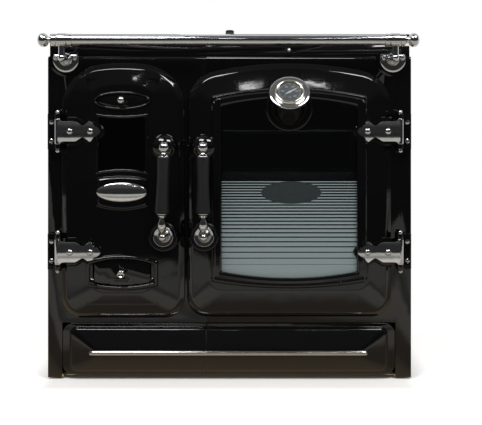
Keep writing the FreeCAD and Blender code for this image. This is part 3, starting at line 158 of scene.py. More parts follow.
enamel, tree, place, out = new_finish("black_vitreous_enamel_on_cast_iron")
ripple = add(tree, "ShaderNodeTexNoise", {"Vector": place, "Scale": 1 / 0.055, "Detail": 1.0})
peel = add(tree, "ShaderNodeTexNoise", {"Vector": place, "Scale": 1 / 0.0045, "Detail": 2.0})
wave = add(tree, "ShaderNodeBump", {"Height": ripple.outputs["Fac"], "Strength": 0.10, "Distance": 0.006})
glaze = add(tree, "ShaderNodeBump", {"Height": peel.outputs["Fac"], "Strength": 0.05, "Distance": 0.0006,
                                     "Normal": wave.outputs["Normal"]})
rough = add(tree, "ShaderNodeMapRange", {"Value": peel.outputs["Fac"], "To Min": 0.045, "To Max": 0.075})
skin = add(tree, "ShaderNodeBsdfPrincipled", {"Base Color": linear("#060607"), "Roughness": rough.outputs["Result"],
                                              "IOR": 1.52, "Normal": glaze.outputs["Normal"]})
tree.links.new(skin.outputs["BSDF"], out.inputs["Surface"])

softened("front_frame_left", "casting_front_left", enamel, 1.2)
softened("front_frame_right", "casting_front_right", enamel, 1.2)
softened("hob_frame", "casting_hob_frame", enamel, 1.5)

casting_thick = 14.0
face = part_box("side_panel_left")[0].y * 1000 - casting_thick


def at(x, out, z):
    """Points of the cooker in metres, from mm: x to the right, out in front of the castings' face, z up."""
    x, out, z = np.broadcast_arrays(*(np.asarray(v, float) for v in (x, out, z)))
    return np.stack([x, face - out, z], -1) / 1000


# ------------------------------------------------------------------ fire door
# One iron casting in black glaze: a square edge, a steep bevel up to a crest, long slopes up to a flat field.
# The window, the eye above it and the barrel below it each have a cast lip; the rope seal sits on a rib behind.
fire_left, fire_right, fire_low, fire_high = -415.0, -110.0, 152.0, 783.0
fire_mid = (fire_left + fire_right) / 2
bevel, crest_out, field_out = 14.0, 13.0, 24.0
wall = 6.0
hinge_levels = 613.0, 317.0
fire_pin_x, oven_pin_x, pin_out = -420.5, 420.5, 19.5
pad_out = 24.6
strap_start, strap_root, strap_tip = 22.0, 24.7, 106.0
fire_seal = fire_mid, 88, 186, 744
knob_levels = 689.0, 265.0
oval_z, oval_long, oval_high = 464.0, 62.0, 24.0


def line(start, end, steps):
    """Points start + t (end - start), with t running evenly from 0 to 1."""
    return np.linspace(start, end, steps + 1)


def arc(centre, radius, start, end, steps):
    """Points centre + radius (cos a, sin a), with a running evenly from start to end in radians."""
    a = np.linspace(start, end, steps + 1)
    return np.array(centre) + radius * np.stack([np.cos(a), np.sin(a)], -1)


def loop_of(stretches):
    """One closed loop, from stretches that each end where the next begins."""
    return np.concatenate([points[:-1] for points in stretches])


def arch(left, right, low, high, crown, shoulder, foot):
    """A door's outline (x, z), anticlockwise: a straight foot, foot arcs, upright sides, shoulder arcs and a wide
    crown arc about (middle, high - crown). The shoulders' centres lie crown - shoulder from that centre, so that
    the arcs meet without a kink."""
    mid, crown_z, quarter = (left + right) / 2, high - crown, math.pi / 2
    side = right - shoulder - mid
    shoulder_z = crown_z + math.sqrt((crown - shoulder) ** 2 - side ** 2)
    turn = math.atan2(shoulder_z - crown_z, side)
    return loop_of([line((left + foot, low), (right - foot, low), 40),
                    arc((right - foot, low + foot), foot, -quarter, 0, 14),
                    line((right, low + foot), (right, shoulder_z), 60),
                    arc((right - shoulder, shoulder_z), shoulder, 0, turn, 24),
                    arc((mid, crown_z), crown, turn, math.pi - turn, 80),
                    arc((left + shoulder, shoulder_z), shoulder, math.pi - turn, math.pi, 24),
                    line((left, shoulder_z), (left, low + foot), 60),
                    arc((left + foot, low + foot), foot, math.pi, 3 * quarter, 14)])


def curve(start, bend, end, steps):
    """A parabola from start to end that leaves and arrives along the lines to bend."""
    t = np.linspace(0, 1, steps + 1)[:, None]
    return (1 - t) ** 2 * np.array(start) + 2 * t * (1 - t) * np.array(bend) + t ** 2 * np.array(end)


def bowed(mid, half, low, high, low_bow, high_bow, corner=4.0):
    """Upright sides, and a foot and a head that bow out by z = bow (1 - u^2), u from -1 to 1 across; the corners
    are small curves. It has as many points in each stretch as an arch."""
    left, right, lift = mid - half, mid + half, corner / half * 2
    foot = curve((left + corner, low - low_bow * lift), (mid, low - low_bow * (2 - lift)),
                 (right - corner, low - low_bow * lift), 40)
    head = curve((right - corner, high + high_bow * lift), (mid, high + high_bow * (2 - lift)),
                 (left + corner, high + high_bow * lift), 80)
    return loop_of([foot, curve(foot[-1], (right, low), (right, low + corner), 14),
                    line((right, low + corner), (right, high - corner), 60),
                    curve((right, high - corner), (right, high), head[0], 24), head,
                    curve(head[-1], (left, high), (left, high - corner), 24),
                    line((left, high - corner), (left, low + corner), 60),
                    curve((left, low + corner), (left, low), foot[0], 14)])


def oval(mid, z, half_long, half_high, sides=120):
    """Points (mid + half_long cos a, z + half_high sin a) once round, anticlockwise."""
    return np.array((mid, z)) + arc((0, 0), 1, 0, 2 * math.pi, sides)[:-1] * (half_long, half_high)


def lay(loop, out):
    """A loop of points (x, z) set out mm in front of the castings' face."""
    return at(loop[:, 0], out, loop[:, 1])


def laid(outline, *steps):
    """Loops of one outline, outline(grow), laid at each (grow, out)."""
    return [lay(outline(grow), out) for grow, out in steps]


def filleted(stations, radii, steps=4):
    """The rows of a surface through the stations, with each inner corner rounded: from a, r mm before the corner,
    to b, r mm after it, the row at share t is (1 - t)^2 a + 2 t (1 - t) corner + t^2 b."""
    rows = [stations[0]]
    for before, corner, after, r in zip(stations, stations[1:], stations[2:], radii):
        a, b = [corner + (end - corner) * np.minimum(
            0.48, r / 1000 / np.maximum(np.linalg.norm(end - corner, axis=-1, keepdims=True), 1e-9))
            for end in (before, after)]
        rows += [(1 - t) ** 2 * a + 2 * t * (1 - t) * corner + t ** 2 * b for t in np.linspace(0, 1, steps + 1)]
    return np.array(rows + [stations[-1]])


def strip(rows, wrap_rows=False):
    """Vertices and quads of a surface whose rows are closed loops; wrap_rows joins the last row to the first."""
    count, wide = rows.shape[:2]
    index = np.arange(count * wide).reshape(count, wide)
    index = np.concatenate([index, index[:, :1]], 1)
    if wrap_rows:
        index = np.concatenate([index, index[:1]], 0)
    quads = np.stack([index[:-1, :-1], index[:-1, 1:], index[1:, 1:], index[1:, :-1]], -1)
    return rows.reshape(-1, 3), quads.reshape(-1, 4).tolist()


def capped(rows):
    """A closed form: the surface through the rows, with a flat face over the first row and over the last."""
    points, quads = strip(rows)
    wide = rows.shape[1]
    return points, quads + [list(range(wide)), list(range(len(points) - wide, len(points)))]


def ring(rows):
    """A closed tube of a surface: its rows are loops, and the last row joins the first."""
    return strip(rows, wrap_rows=True)


def flat_between(*loops):
    """The flat face inside the first loop and outside the others."""
    work = bmesh.new()
    edges = []
    for loop in loops:
        corners = [work.verts.new(p) for p in loop]
        edges += [work.edges.new(pair) for pair in zip(corners, corners[1:] + corners[:1])]
    bmesh.ops.triangle_fill(work, edges=edges, use_beauty=True)
    work.verts.index_update()
    made = (np.array([v.co[:] for v in work.verts]), [[v.index for v in f.verts] for f in work.faces])
    work.free()
    return made


def piece(name, shapes, finish, body, slot, *nodes, sharp=32, fold=0.0):
    """One object from (vertices, faces) shapes: doubled corners merged, normals outward, smooth up to sharp
    degrees. A fold above nought is the thickness in mm that an open shell is given on its inner side."""
    points, faces, count = [], [], 0
    for verts, polygons in shapes:
        points.append(verts)
        faces += [[i + count for i in polygon] for polygon in polygons]
        count += len(verts)
    mesh = bpy.data.meshes.new(name)
    mesh.from_pydata(np.concatenate(points).tolist(), [], faces)
    work = bmesh.new()
    work.from_mesh(mesh)
    bmesh.ops.remove_doubles(work, verts=work.verts, dist=2e-6)
    bmesh.ops.dissolve_degenerate(work, edges=work.edges, dist=1e-6)
    bmesh.ops.recalc_face_normals(work, faces=work.faces)
    work.to_mesh(mesh)
    work.free()
    mesh.polygons.foreach_set("use_smooth", np.ones(len(mesh.polygons), bool))
    mesh.set_sharp_from_angle(angle=math.radians(sharp))
    mesh.materials.append(finish)
    made = bpy.data.objects.new(name, mesh)
    bpy.context.scene.collection.objects.link(made)
    if fold:
        shell = made.modifiers.new("wall", "SOLIDIFY")
        shell.thickness, shell.offset, shell.use_rim = fold / 1000, -1.0, True
    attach(made, body)
    if nodes:
        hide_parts(*nodes)
    return made


def turned(profile, foot, axis=(0, -1, 0), sides=48):
    """A turned form: profile points (radius, along) in mm; a point of it is foot + along axis
    + radius (cos a, sin a) across the axis. The foot is a point in metres."""
    axis = Vector(axis).normalized()
    across = axis.orthogonal().normalized()
    u, v, w = (np.array(d) for d in (across, axis.cross(across), axis))
    a = np.linspace(0, 2 * math.pi, sides, endpoint=False)[None, :, None]
    radius, along = (np.asarray(profile)[:, i, None, None] / 1000 for i in (0, 1))
    return capped(np.asarray(foot) + along * w + radius * (np.cos(a) * u + np.sin(a) * v))


def profile(points, radius, steps=4):
    """A turning profile (radius, along) in mm with its corners rounded off by radius."""
    stations = [np.array(p, float) for p in points]
    return filleted(stations, [radius * 1000] * (len(points) - 2), steps)


def lip(outline, wide, rise, depth, top=field_out, foot_r=2.0):
    """The rows of a cast lip round an opening, from the field up over it and down into the hole. outline(grow)
    gives the opening's loop, grown; the lip is wide mm across and rise mm high."""
    stations = laid(outline, (wide, top), (wide * 0.72, top + rise), (wide * 0.22, top + rise),
                    (0.0, top + rise * 0.3), (0.0, top - depth))
    return filleted(stations, [foot_r, 1.8, 1.6], 3)


def door_rows(outline, field):
    """The door's form from its back edge to its field: square edge, steep bevel, crest, slope, field's edge."""
    stations = (laid(outline, (0.0, 0.6), (0.0, 3.0), (bevel, crest_out))
                + laid(field, (0.0, field_out), (6.0, field_out)))
    return filleted(stations, [1.4, 3.6, 5.5], 5), stations[-1]


def pad_outline(pin_x, side, z, grow):
    """The ornamental strap's outline from d = 0 at the pin to its tip: half heights by distance from the pin, joined
    by a cubic that passes through all of them without a kink, grown by grow, above and then below."""
    d = np.array([strap_start, 34.0, 45.0, 54.0, 63.0, 72.0, 80.0, 90.0, 100.0, strap_tip + grow])
    h = np.array([strap_root, 24.7, 24.0, 18.8, 14.9, 20.5, 25.5, 14.0, 8.5, -grow]) + grow
    slope = np.gradient(h, d)
    slope[-1] = slope[-2] * 3
    along = np.linspace(d[0], d[-1], 60)
    along[-1] = d[-1]
    i = np.clip(np.searchsorted(d, along, side="right") - 1, 0, len(d) - 2)
    step = d[i + 1] - d[i]
    t = (along - d[i]) / step
    high = ((2 * t ** 3 - 3 * t ** 2 + 1) * h[i] + (t ** 3 - 2 * t ** 2 + t) * step * slope[i]
            + (-2 * t ** 3 + 3 * t ** 2) * h[i + 1] + (t ** 3 - t ** 2) * step * slope[i + 1])
    high = np.maximum(high, 0.0)
    x = pin_x + side * along
    above, below = np.stack([x, z + high], -1), np.stack([x, z - high], -1)[::-1]
    return np.concatenate([above, below[1:]])


def strap_pad(pin_x, side, z, edge_x):
    """The cast pad under a strap, with bevelled sides, cut off upright at the door's own edge."""
    def at_grow(grow, out):
        """The strap's outline grown by grow, each point held inside the door's edge, out mm in front."""
        loop = pad_outline(pin_x, side, z, grow)
        x = loop[:, 0]
        loop[:, 0] = np.maximum(x, edge_x) if side > 0 else np.minimum(x, edge_x)
        return lay(loop, out)
    return capped(filleted([at_grow(11.0, 9.0), at_grow(11.0, 19.0), at_grow(7.0, pad_out)], [1.5], 3))


def lever_boss(x, z, base_out):
    """The boss that carries a lever: a conical foot in a wide fillet, a flat lip and the dish's recess in it."""
    return turned(profile([(44, base_out - 6), (38, base_out), (35.5, 29.0), (34.2, 31.0), (30, 31.0), (27.5, 29.2),
                           (27, 27.0), (0, 27.0)], 1.2), at(x, 0, z))


def rest_dome(x, z):
    """The dome behind a lever's upper end: a ball's cap, 35 mm in radius at its foot, with a small fillet."""
    angle = np.linspace(0, math.pi / 2, 14)
    rise = np.stack([35.0 * np.cos(angle), 9.0 + 29.0 * np.sin(angle)], -1)
    return turned(np.concatenate([[(36.5, 8.0)], rise]), at(x, 0, z))


def frame_ring(mid, half, low, high, wide, out0, out1):
    """A flat rectangular frame with a rectangular section."""
    def corners(d):
        """The frame's four corners, drawn in by d."""
        return np.array([(mid - half + d, low + d), (mid + half - d, low + d), (mid + half - d, high - d),
                         (mid - half + d, high - d)])
    return ring(np.array(laid(corners, (0, out0), (0, out1), (wide, out1), (wide, out0))))


def bar(x0, x1, z0, z1, out0, out1):
    """A plain rectangular block."""
    corners = np.array([(x0, z0), (x1, z0), (x1, z1), (x0, z1)])
    return capped(np.array([lay(corners, out0), lay(corners, out1)]))


def fire_outline(d):
    """The fire door's edge, drawn in by d."""
    return arch(fire_left + d, fire_right - d, fire_low + d, fire_high - d, 420 - d, 110 - d, 52 - d)


def fire_field(d):
    """The edge of the fire door's flat field, drawn in by d."""
    return arch(fire_mid - 75 + d, fire_mid + 75 - d, 214 + d, 729 - d, 210 - d, 34 - d, 34 - d)


def eye(grow):
    """The oval opening of the upper air register, grown."""
    return oval(fire_mid, knob_levels[0], 64 + grow, 17 + grow)


def barrel(grow):
    """The lower air register's opening, which bows out above and below, grown."""
    return bowed(fire_mid, 78 + grow, 244 - grow, 286 + grow, 10, 14)


def pane(grow):
    """The fire window's opening, whose head and foot bow in, grown."""
    return bowed(fire_mid, 56.5 + grow, 515 - grow, 650 + grow, -6, -5)


def band(grow):
    """The raised band that the oval plate sits on, grown."""
    return bowed(fire_mid, 63 + grow, 429 - grow, 499 + grow, 10, 5)


lever_z, dome_z = 355.0, 574.0
fire_lever_x, oven_lever_x = -161.0, -61.0
rows, field_edge = door_rows(fire_outline, fire_field)
openings = [lip(eye, 6, 4.5, 12), lip(barrel, 11, 5.5, 12, foot_r=3.0), lip(pane, 8, 3.0, 8)]
front = [strip(rows), flat_between(field_edge, *(opening[0] for opening in openings))]
piece("door_fire", front + [strip(opening) for opening in openings], enamel, "fire_door", "enamel",
      "fire_door_casting", fold=wall)
plate_band = laid(band, (0, field_out - 2), (0, field_out + 1.2), (-2.4, field_out + 1.6),
                  (-4.2, field_out + 0.8), (-6.4, field_out + 2.6), (-12, field_out + 2.6))
piece("door_fire_mouldings", [capped(filleted(plate_band, [0.8, 0.7, 0.7, 0.9], 3))], enamel, "fire_door", "enamel")
piece("door_fire_pads", [strap_pad(fire_pin_x, 1, z, fire_left) for z in hinge_levels], enamel,
      "fire_door", "enamel")
piece("door_fire_boss", [lever_boss(fire_lever_x, lever_z, 15.0), rest_dome(fire_lever_x, dome_z)], enamel,
      "fire_door", "enamel")
piece("door_fire_ribs", [frame_ring(*fire_seal, 6, 7, 18.5)]
      + [bar(fire_mid - 8, fire_mid + 8, z0, z1, 11, 17.8) for z0, z1 in ((660, 718), (222, 312))],
      enamel, "fire_door", "enamel")

# ------------------------------------------------------------------ oven door
# The wider casting of the same kind: its slopes run in to a low moulding round a large window, and the
# thermometer's collar is let into the top of that moulding.
oven_left, oven_right, oven_low, oven_high = -105.0, 400.0, 155.0, 782.0
oven_mid = (oven_left + oven_right) / 2
oven_seal = oven_mid, 184, 240, 706


def oven_outline(d):
    """The oven door's edge, drawn in by d."""
    return arch(oven_left + d, oven_right - d, oven_low + d, oven_high - d, 900 - d, 90 - d, 50 - d)


def oven_field(d):
    """The edge of the oven door's flat field, drawn in by d."""
    beside, above = 56 + d, 66 + d
    return arch(oven_left + beside, oven_right - beside, oven_low + above, oven_high - above, 900 - d, 34 - d, 34 - d)


def light(grow):
    """The oven window's opening, bowed out above and below, grown."""
    return bowed(oven_mid, 166 + grow, 269 - grow, 675 + grow, 16, 20)


rows, field_edge = door_rows(oven_outline, oven_field)
moulding = filleted(laid(light, (25, field_out), (21.5, field_out + 4.6), (17, field_out + 5.0),
                         (14, field_out + 3.2), (6, field_out + 4.4), (1.2, field_out + 3.0), (0, field_out + 0.5),
                         (0, field_out - 7.0)), [1.2, 1.8, 2.0, 2.6, 1.8, 1.0], 3)
piece("door_oven", [strip(rows), flat_between(field_edge, moulding[0]), strip(moulding)], enamel, "oven_door",
      "enamel", "oven_door_casting", fold=wall)
piece("door_oven_pads", [strap_pad(oven_pin_x, -1, z, oven_right) for z in hinge_levels], enamel,
      "oven_door", "enamel")
piece("door_oven_boss", [lever_boss(oven_lever_x, lever_z, 13.0), rest_dome(oven_lever_x, dome_z)], enamel,
      "oven_door", "enamel")
piece("door_oven_rib", [frame_ring(*oven_seal, 6, 7, 18.5)], enamel, "oven_door", "enamel")

# ------------------------------------------------------------------ hinge straps, leaves and pins
# Ornamental straps with a waisted outline, cast in zinc alloy, polished and chromed, and gently crowned all
# along. Each turns on a steel pin between the knuckles of a leaf on the front casting. Chrome plate on a buffed
# casting: a near mirror with a faint haze, whose reflections waver slightly over every 18 mm or so.
chrome, tree, place, out = new_finish("polished_chrome_plate")
buffing = add(tree, "ShaderNodeTexNoise", {"Vector": place, "Scale": 1 / 0.018, "Detail": 3.0})
haze = add(tree, "ShaderNodeTexNoise", {"Vector": place, "Scale": 1 / 0.0016, "Detail": 4.0})
rough = add(tree, "ShaderNodeMapRange", {"Value": haze.outputs["Fac"], "To Min": 0.06, "To Max": 0.15})
tone = add(tree, "ShaderNodeMix", {"Factor": buffing.outputs["Fac"], "A": linear("#b9babd"), "B": linear("#d2d2d3")},
           data_type="RGBA")
soft = add(tree, "ShaderNodeBump", {"Height": buffing.outputs["Fac"], "Strength": 0.10, "Distance": 0.0015})
skin = add(tree, "ShaderNodeBsdfPrincipled", {"Base Color": tone.outputs["Result"], "Metallic": 1.0,
                                              "Roughness": rough.outputs["Result"], "Normal": soft.outputs["Normal"]})
tree.links.new(skin.outputs["BSDF"], out.inputs["Surface"])

strap_thick, knuckle_r, strap_knuckle, leaf_knuckle, pin_r = 5.5, 8.0, 31.0, 43.0, 4.0
half_width, leaf_wide, leaf_half, leaf_thick, screw_inset, screw_up = 450.0, 21.0, 43.5, 5.0, 10.5, 24.0


def strap_form(pin_x, side, z):
    """A strap, gently crowned all along: at v mm above or below its middle line it stands
    strap_thick (1 - (v/34)^2) proud of the pad, down to an upright edge at the outline, v = high."""
    loop = pad_outline(pin_x, side, z, 0.0)
    count = len(loop) // 2 + 1
    d = np.concatenate([[1.0, 5.0, 9.0, 14.0, 18.0], np.abs(loop[:count, 0] - pin_x)])
    high = np.concatenate([[30.6, 30.2, 26.5, 25.0, 24.7], np.maximum(np.abs(loop[:count, 1] - z), 0.3)])[:, None]
    share = np.concatenate([[-1.0, -1.0], np.linspace(-0.97, 0.97, 23), [1.0, 1.0]])[None, :]
    rise = strap_thick * (1 - (high * share / 34.0) ** 2)
    rise[:, [1, -2]] -= 0.5
    rise[:, [0, -1]] = 0.0
    return capped(at(pin_x + side * d[:, None] + 0 * share, pad_out + rise, z + high * share))


def upright(x, z, low, high, radius, edge=0.8):
    """A round bar on a hinge's axis, its ends rounded off."""
    corners = profile([(0, low), (radius, low), (radius, high), (0, high)], edge)
    return turned(corners, at(x, pin_out, z), (0, 0, 1), 32)


def bead(centre, radius, axis=(0, 0, 1)):
    """A ball: its profile is (radius cos a, radius sin a)."""
    a = np.linspace(-math.pi / 2, math.pi / 2, 24)
    return turned(np.stack([radius * np.cos(a), radius * np.sin(a)], -1), centre, axis, 32)


def rivet(x, z):
    """A domed head, 7.4 mm in radius and 4.4 mm high, on a collar 0.8 mm high."""
    a = np.linspace(0, math.pi / 2, 9)
    top = pad_out + strap_thick
    dome = np.stack([7.4 * np.cos(a), top + 0.8 + 4.4 * np.sin(a)], -1)
    return turned(np.concatenate([[(0, pad_out), (4, pad_out), (4, top), (8.2, top), (8.2, top + 0.8)], dome]),
                  at(x, 0, z), sides=32)


def leaf(pin_x, side, z):
    """A fixed leaf on the front casting and its two knuckles."""
    edge = -side * half_width
    x0, x1 = sorted((edge, edge + side * leaf_wide))
    low, high = z - leaf_half, z + leaf_half
    corners = np.array([(x0, low), (x1, low), (x1, high), (x0, high)])
    inner = corners + (np.sign(np.array([x0 + x1, 2 * z]) / 2 - corners) * 1.2)
    shapes = [capped(filleted([lay(corners, 0.0), lay(corners, leaf_thick - 0.8), lay(inner, leaf_thick)], [0.8], 2))]
    for sign in (-1, 1):
        a, b = sorted((sign * (strap_knuckle + 0.4), sign * leaf_knuckle))
        shapes.append(upright(pin_x, z, a, b, knuckle_r))
        w0, w1 = sorted((edge + side * 4, pin_x))
        shapes.append(bar(w0, w1, z + a, z + b, 0, pin_out))
    return shapes


hinges = [(pin_x, side, z) for pin_x, side in ((fire_pin_x, 1), (oven_pin_x, -1)) for z in hinge_levels]
for body, places, rivet_nodes in (("fire_door", hinges[:2], []), ("oven_door", hinges[2:], ["oven_door_rivets"])):
    shapes = []
    for pin_x, side, z in places:
        shapes += [strap_form(pin_x, side, z), upright(pin_x, z, -strap_knuckle, strap_knuckle, knuckle_r)]
    piece("straps_" + body, shapes, chrome, body, "chrome", body + "_straps", sharp=24)
    piece("rivets_" + body, [rivet(pin_x + side * d, z) for pin_x, side, z in places for d in (31.0, 81.0)],
          chrome, body, "chrome", *rivet_nodes)
piece("leaves", [shape for place in hinges for shape in leaf(*place)], enamel, "cooker", "enamel", "hinge_leaves")
piece("pins", [shape for pin_x, side, z in hinges for shape in
               [upright(pin_x, z, -leaf_knuckle - 1, leaf_knuckle + 1, pin_r)]
               + [bead(at(pin_x, pin_out, z + sign * (leaf_knuckle + 4.5)), 5.5) for sign in (-1, 1)]],
      chrome, "cooker", "chrome", "hinge_pins")
a = np.linspace(0, math.pi / 2, 8)
screw_head = np.concatenate([[(0, 4.0), (6.2, 4.0), (6.2, 5.4)],
                             np.stack([5.8 * np.cos(a), 5.6 + 2.2 * np.sin(a)], -1)])
piece("leaf_screws", [turned(screw_head, at(side * (screw_inset - half_width), 0, z + sign * screw_up), sides=28)
                      for pin_x, side, z in hinges for sign in (-1, 1)], chrome, "cooker", "chrome",
      "hinge_leaf_screws")

# ------------------------------------------------------------------ air registers and the oval plate
# Two iron shutters in the same glaze stand back in their openings, each held by a turned chrome knob that runs
# on a stud. Between them a domed oval plate in chrome, left bare, sits on its moulded band.
softened("upper_air_shutter", "shutter_upper", enamel, 1.2, "upper_shutter")
softened("lower_air_shutter", "shutter_lower", enamel, 1.2, "lower_shutter")
knob_foot = field_out - 1.6
knob_neck = [(0, knob_foot + 2), (6.4, knob_foot), (6.9, knob_foot + 1.5), (5.2, knob_foot + 4), (5.0, knob_foot + 8)]
ball_a = np.linspace(-1.0, math.pi / 2, 20)
knob_ball = np.stack([9.5 * np.cos(ball_a), knob_foot + 16.5 + 9.5 * np.sin(ball_a)], -1)
piece("knob_upper", [turned(np.concatenate([knob_neck, knob_ball]), at(fire_mid, 0, knob_levels[0]))], chrome,
      "upper_knob", "chrome", "upper_air_knob")
dished = profile([(5.0, knob_foot + 8), (9.4, knob_foot + 13), (9.5, knob_foot + 21), (7.4, knob_foot + 22.6),
                  (4.6, knob_foot + 20.4), (0, knob_foot + 20.0)], 1.1)
piece("knob_lower", [turned(np.concatenate([knob_neck, dished]), at(fire_mid, 0, knob_levels[1]))], chrome,
      "lower_knob", "chrome", "lower_air_knob")
piece("air_studs", [turned([(0, 11), (4, 11), (4, 35.5), (0, 35.5)], at(fire_mid, 0, z), sides=24)
                    for z in knob_levels], chrome, "fire_door", "chrome", "fire_door_fasteners")


def oval_dome(half_long, half_high, low, edge, height):
    """A domed oval: at share s of its half axes it stands low + edge + height (1 - s^2)^0.8 out."""
    crown = np.linspace(0.96, 0.0, 16)
    share = np.concatenate([[1.0, 1.0, 0.985], crown])
    out = low + np.concatenate([[0.0, edge * 0.7, edge], edge + height * (1 - crown ** 2) ** 0.8])
    return capped(np.array([lay(oval(fire_mid, oval_z, half_long * s + 1e-3, half_high * s + 1e-3), o)
                            for s, o in zip(share, out)]))


piece("oval_plate", [oval_dome(oval_long, oval_high, field_out + 0.6, 2.2, 6.0)], chrome, "fire_door", "chrome",
      "fire_door_oval_plate")

# ------------------------------------------------------------------ latch levers
# Turned chrome fittings on a steel spindle: a dish in the boss, a ball, a drop-shaped neck bent up to the grip,
# a ferrule, the grip in black moulded plastic with a slight waist, and a bell and a ball on top.
phenolic = clouded("satin_black_moulded_plastic", ("#0e0e0f",), (30, 2.0), (0.36, 0.48), grain=(0.9, 3.0, 0.10, 0.2))
grip_out, ball_out, spindle_r = 64.0, 46.0, 6.0


def tube(path, radii, sides=32):
    """A bent bar in an upright plane: path is points (out, z) about its x, and each ring stands square to it."""
    x, path = path[0], np.asarray(path[1])
    way = np.gradient(path, axis=0)
    way /= np.linalg.norm(way, axis=1, keepdims=True)
    a = np.linspace(0, 2 * math.pi, sides, endpoint=False)[None, :]
    r = np.asarray(radii)[:, None]
    out = path[:, :1] + way[:, 1:] * r * np.sin(a)
    high = path[:, 1:] - way[:, :1] * r * np.sin(a)
    return capped(at(x + r * np.cos(a), out, high))


def leaned(shapes, x, lean):
    """The shapes turned by lean degrees about the line through (x, lever_z) that runs straight out."""
    c, s = math.cos(math.radians(lean)), math.sin(math.radians(lean))
    x0, z0 = x / 1000, lever_z / 1000
    made = []
    for points, faces in shapes:
        dx, dz = points[:, 0] - x0, points[:, 2] - z0
        made.append((np.stack([x0 + c * dx + s * dz, points[:, 1], z0 - s * dx + c * dz], -1), faces))
    return made


def lever(x, side, lean, body, prefix):
    """One latch at x: its spindle with the tongue behind the door, the chromed fittings and the grip. side is the
    way the tongue points, and lean is how many degrees the upright part leans over."""
    hole, foot, up = at(x, 0, lever_z), at(x, grip_out, lever_z), (0, 0, 1)
    t = np.linspace(0, 1, 14)
    bend = curve((ball_out, 3.0), (grip_out - 2, 24.0), (grip_out, 52.0), 13)
    neck = tube((x, bend + (0, lever_z)), 4.6 + 6.4 * np.sin(math.pi * np.clip(t * 1.15 - 0.15, 0, 1)) ** 1.5)
    tongue = bar(*sorted((x, x + side * 26.0)), lever_z - 4, lever_z + 4, 4, 8)
    shaft = turned([(0, 4), (7.5, 4), (7.5, 8), (spindle_r, 8), (spindle_r, ball_out), (0, ball_out)], hole)
    collars = turned(profile([(0, 33), (9.5, 33), (10.5, 35), (8.0, 37), (8.0, 38.5), (0, 38.5)], 0.8), hole)
    rod = turned([(0, 50), (5, 50), (5, 201), (0, 201)], foot, up)
    spindle = leaned([neck, bead(at(x, ball_out, lever_z), 10.0), rod], x, lean)
    piece("spindle_" + prefix, [tongue, shaft] + spindle, chrome, body, "chrome", prefix + "_latch_spindle")
    dish = turned(profile([(0, 27.6), (23.5, 27.6), (25.0, 29.6), (24.0, 31.0), (20.5, 30.4), (11.0, 28.8),
                           (0, 28.6)], 0.7), hole)
    ferrule = turned(profile([(0, 49), (8, 49), (11.5, 52.5), (8.6, 54.4), (13.5, 57.5), (13.9, 59.5), (12.0, 61.0),
                              (0, 61.0)], 0.9), foot, up)
    bell = turned(profile([(0, 195), (15, 195), (15.6, 197), (14.0, 198.4), (8.5, 203.0), (7.0, 206.0), (0, 206.0)],
                          0.9), foot, up)
    top = bead(at(x, grip_out, lever_z + 218.5), 14.0)
    piece("fittings_" + prefix, [dish, collars] + leaned([ferrule, bell, top], x, lean), chrome, body, "chrome",
          prefix + "_handle_fittings")
    rise = np.linspace(0, 1, 28)
    radius = 16.6 - 2.4 * np.sin(math.pi * rise) + 1.2 * (1 - rise)
    sleeve = np.concatenate([[(0, 61), (radius[0] - 1.2, 61)], np.stack([radius, 62 + 132 * rise], -1),
                             [(radius[-1] - 1.2, 195), (0, 195)]])
    piece("grip_" + prefix, leaned([turned(sleeve, foot, up, 56)], x, lean), phenolic, body, "black_plastic",
          prefix + "_handle_grip")


lever(fire_lever_x, 1, 1.6, "fire_latch", "fire")
lever(oven_lever_x, -1, 0.0, "oven_latch", "oven")

# ------------------------------------------------------------------ thermometer
# An enamelled neck rises from a round collar and is cut off on the slope. On it sits a chromed flange with a
# pale brass rim round a grey printed dial, a pointer on a pivot and a flat glass.
brass = clouded("pale_polished_brass", ("#e9e0cb", "#f4efe2"), (2, 4.0), (0.10, 0.18), sockets={"Metallic": 1.0})
gauge_z, gauge_out, tilt = 703.5, 76.0, math.radians(35.0)
gauge_axis = np.array([0.0, -math.cos(tilt), math.sin(tilt)])
gauge = at(oven_mid, gauge_out, gauge_z)
base_z = gauge_z - (gauge_out - 29.0) * math.tan(tilt)


def on_gauge(radius, bearing, along):
    """Points about the thermometer's axis: bearing runs from straight up the dial, clockwise as one reads it, and
    along is how far they lie in front of the flange's back."""
    up = np.array([0.0, math.sin(tilt), math.cos(tilt)])
    radius, bearing, along = (np.asarray(v, float)[..., None] for v in (radius, bearing, along))
    across = np.cos(bearing) * up + np.sin(bearing) * np.array([1.0, 0.0, 0.0])
    return gauge + (radius * across + along * gauge_axis) / 1000


a = np.linspace(0, 2 * math.pi, 72, endpoint=False)
brim = on_gauge(36.5, a, 0.0)
reach = (face / 1000 - 0.020 - brim[:, 1]) / -gauge_axis[1]
neck_rows = np.array([brim - share * reach[:, None] * gauge_axis for share in (1.0, 0.5, 0.06)]
                     + [on_gauge(38.2, a, -2.0), on_gauge(38.4, a, 0.0)])
collar = turned(profile([(0, 17.2), (56, 17.2), (56, 25), (57.5, 27.5), (57.5, 30.0), (55.0, 32.0), (50.0, 31.6),
                         (45, 29.0), (0, 29.0)], 1.3, 3), at(oven_mid, 0, base_z), sides=80)
piece("thermometer_neck", [capped(neck_rows)], enamel, "oven_door", "enamel", "thermometer_housing")
piece("thermometer_collar", [collar], enamel, "oven_door", "enamel")
flange = profile([(28.4, 0.0), (47.5, 0.0), (49.0, 1.4), (48.4, 3.4), (45.0, 4.4), (40.0, 3.6), (35.5, 4.6),
                  (28.4, 4.6)], 0.9)
rim = profile([(29.2, 4.6), (35.4, 4.6), (35.8, 6.2), (34.6, 8.4), (32.6, 9.4), (30.6, 9.0), (29.2, 7.0)], 0.8)
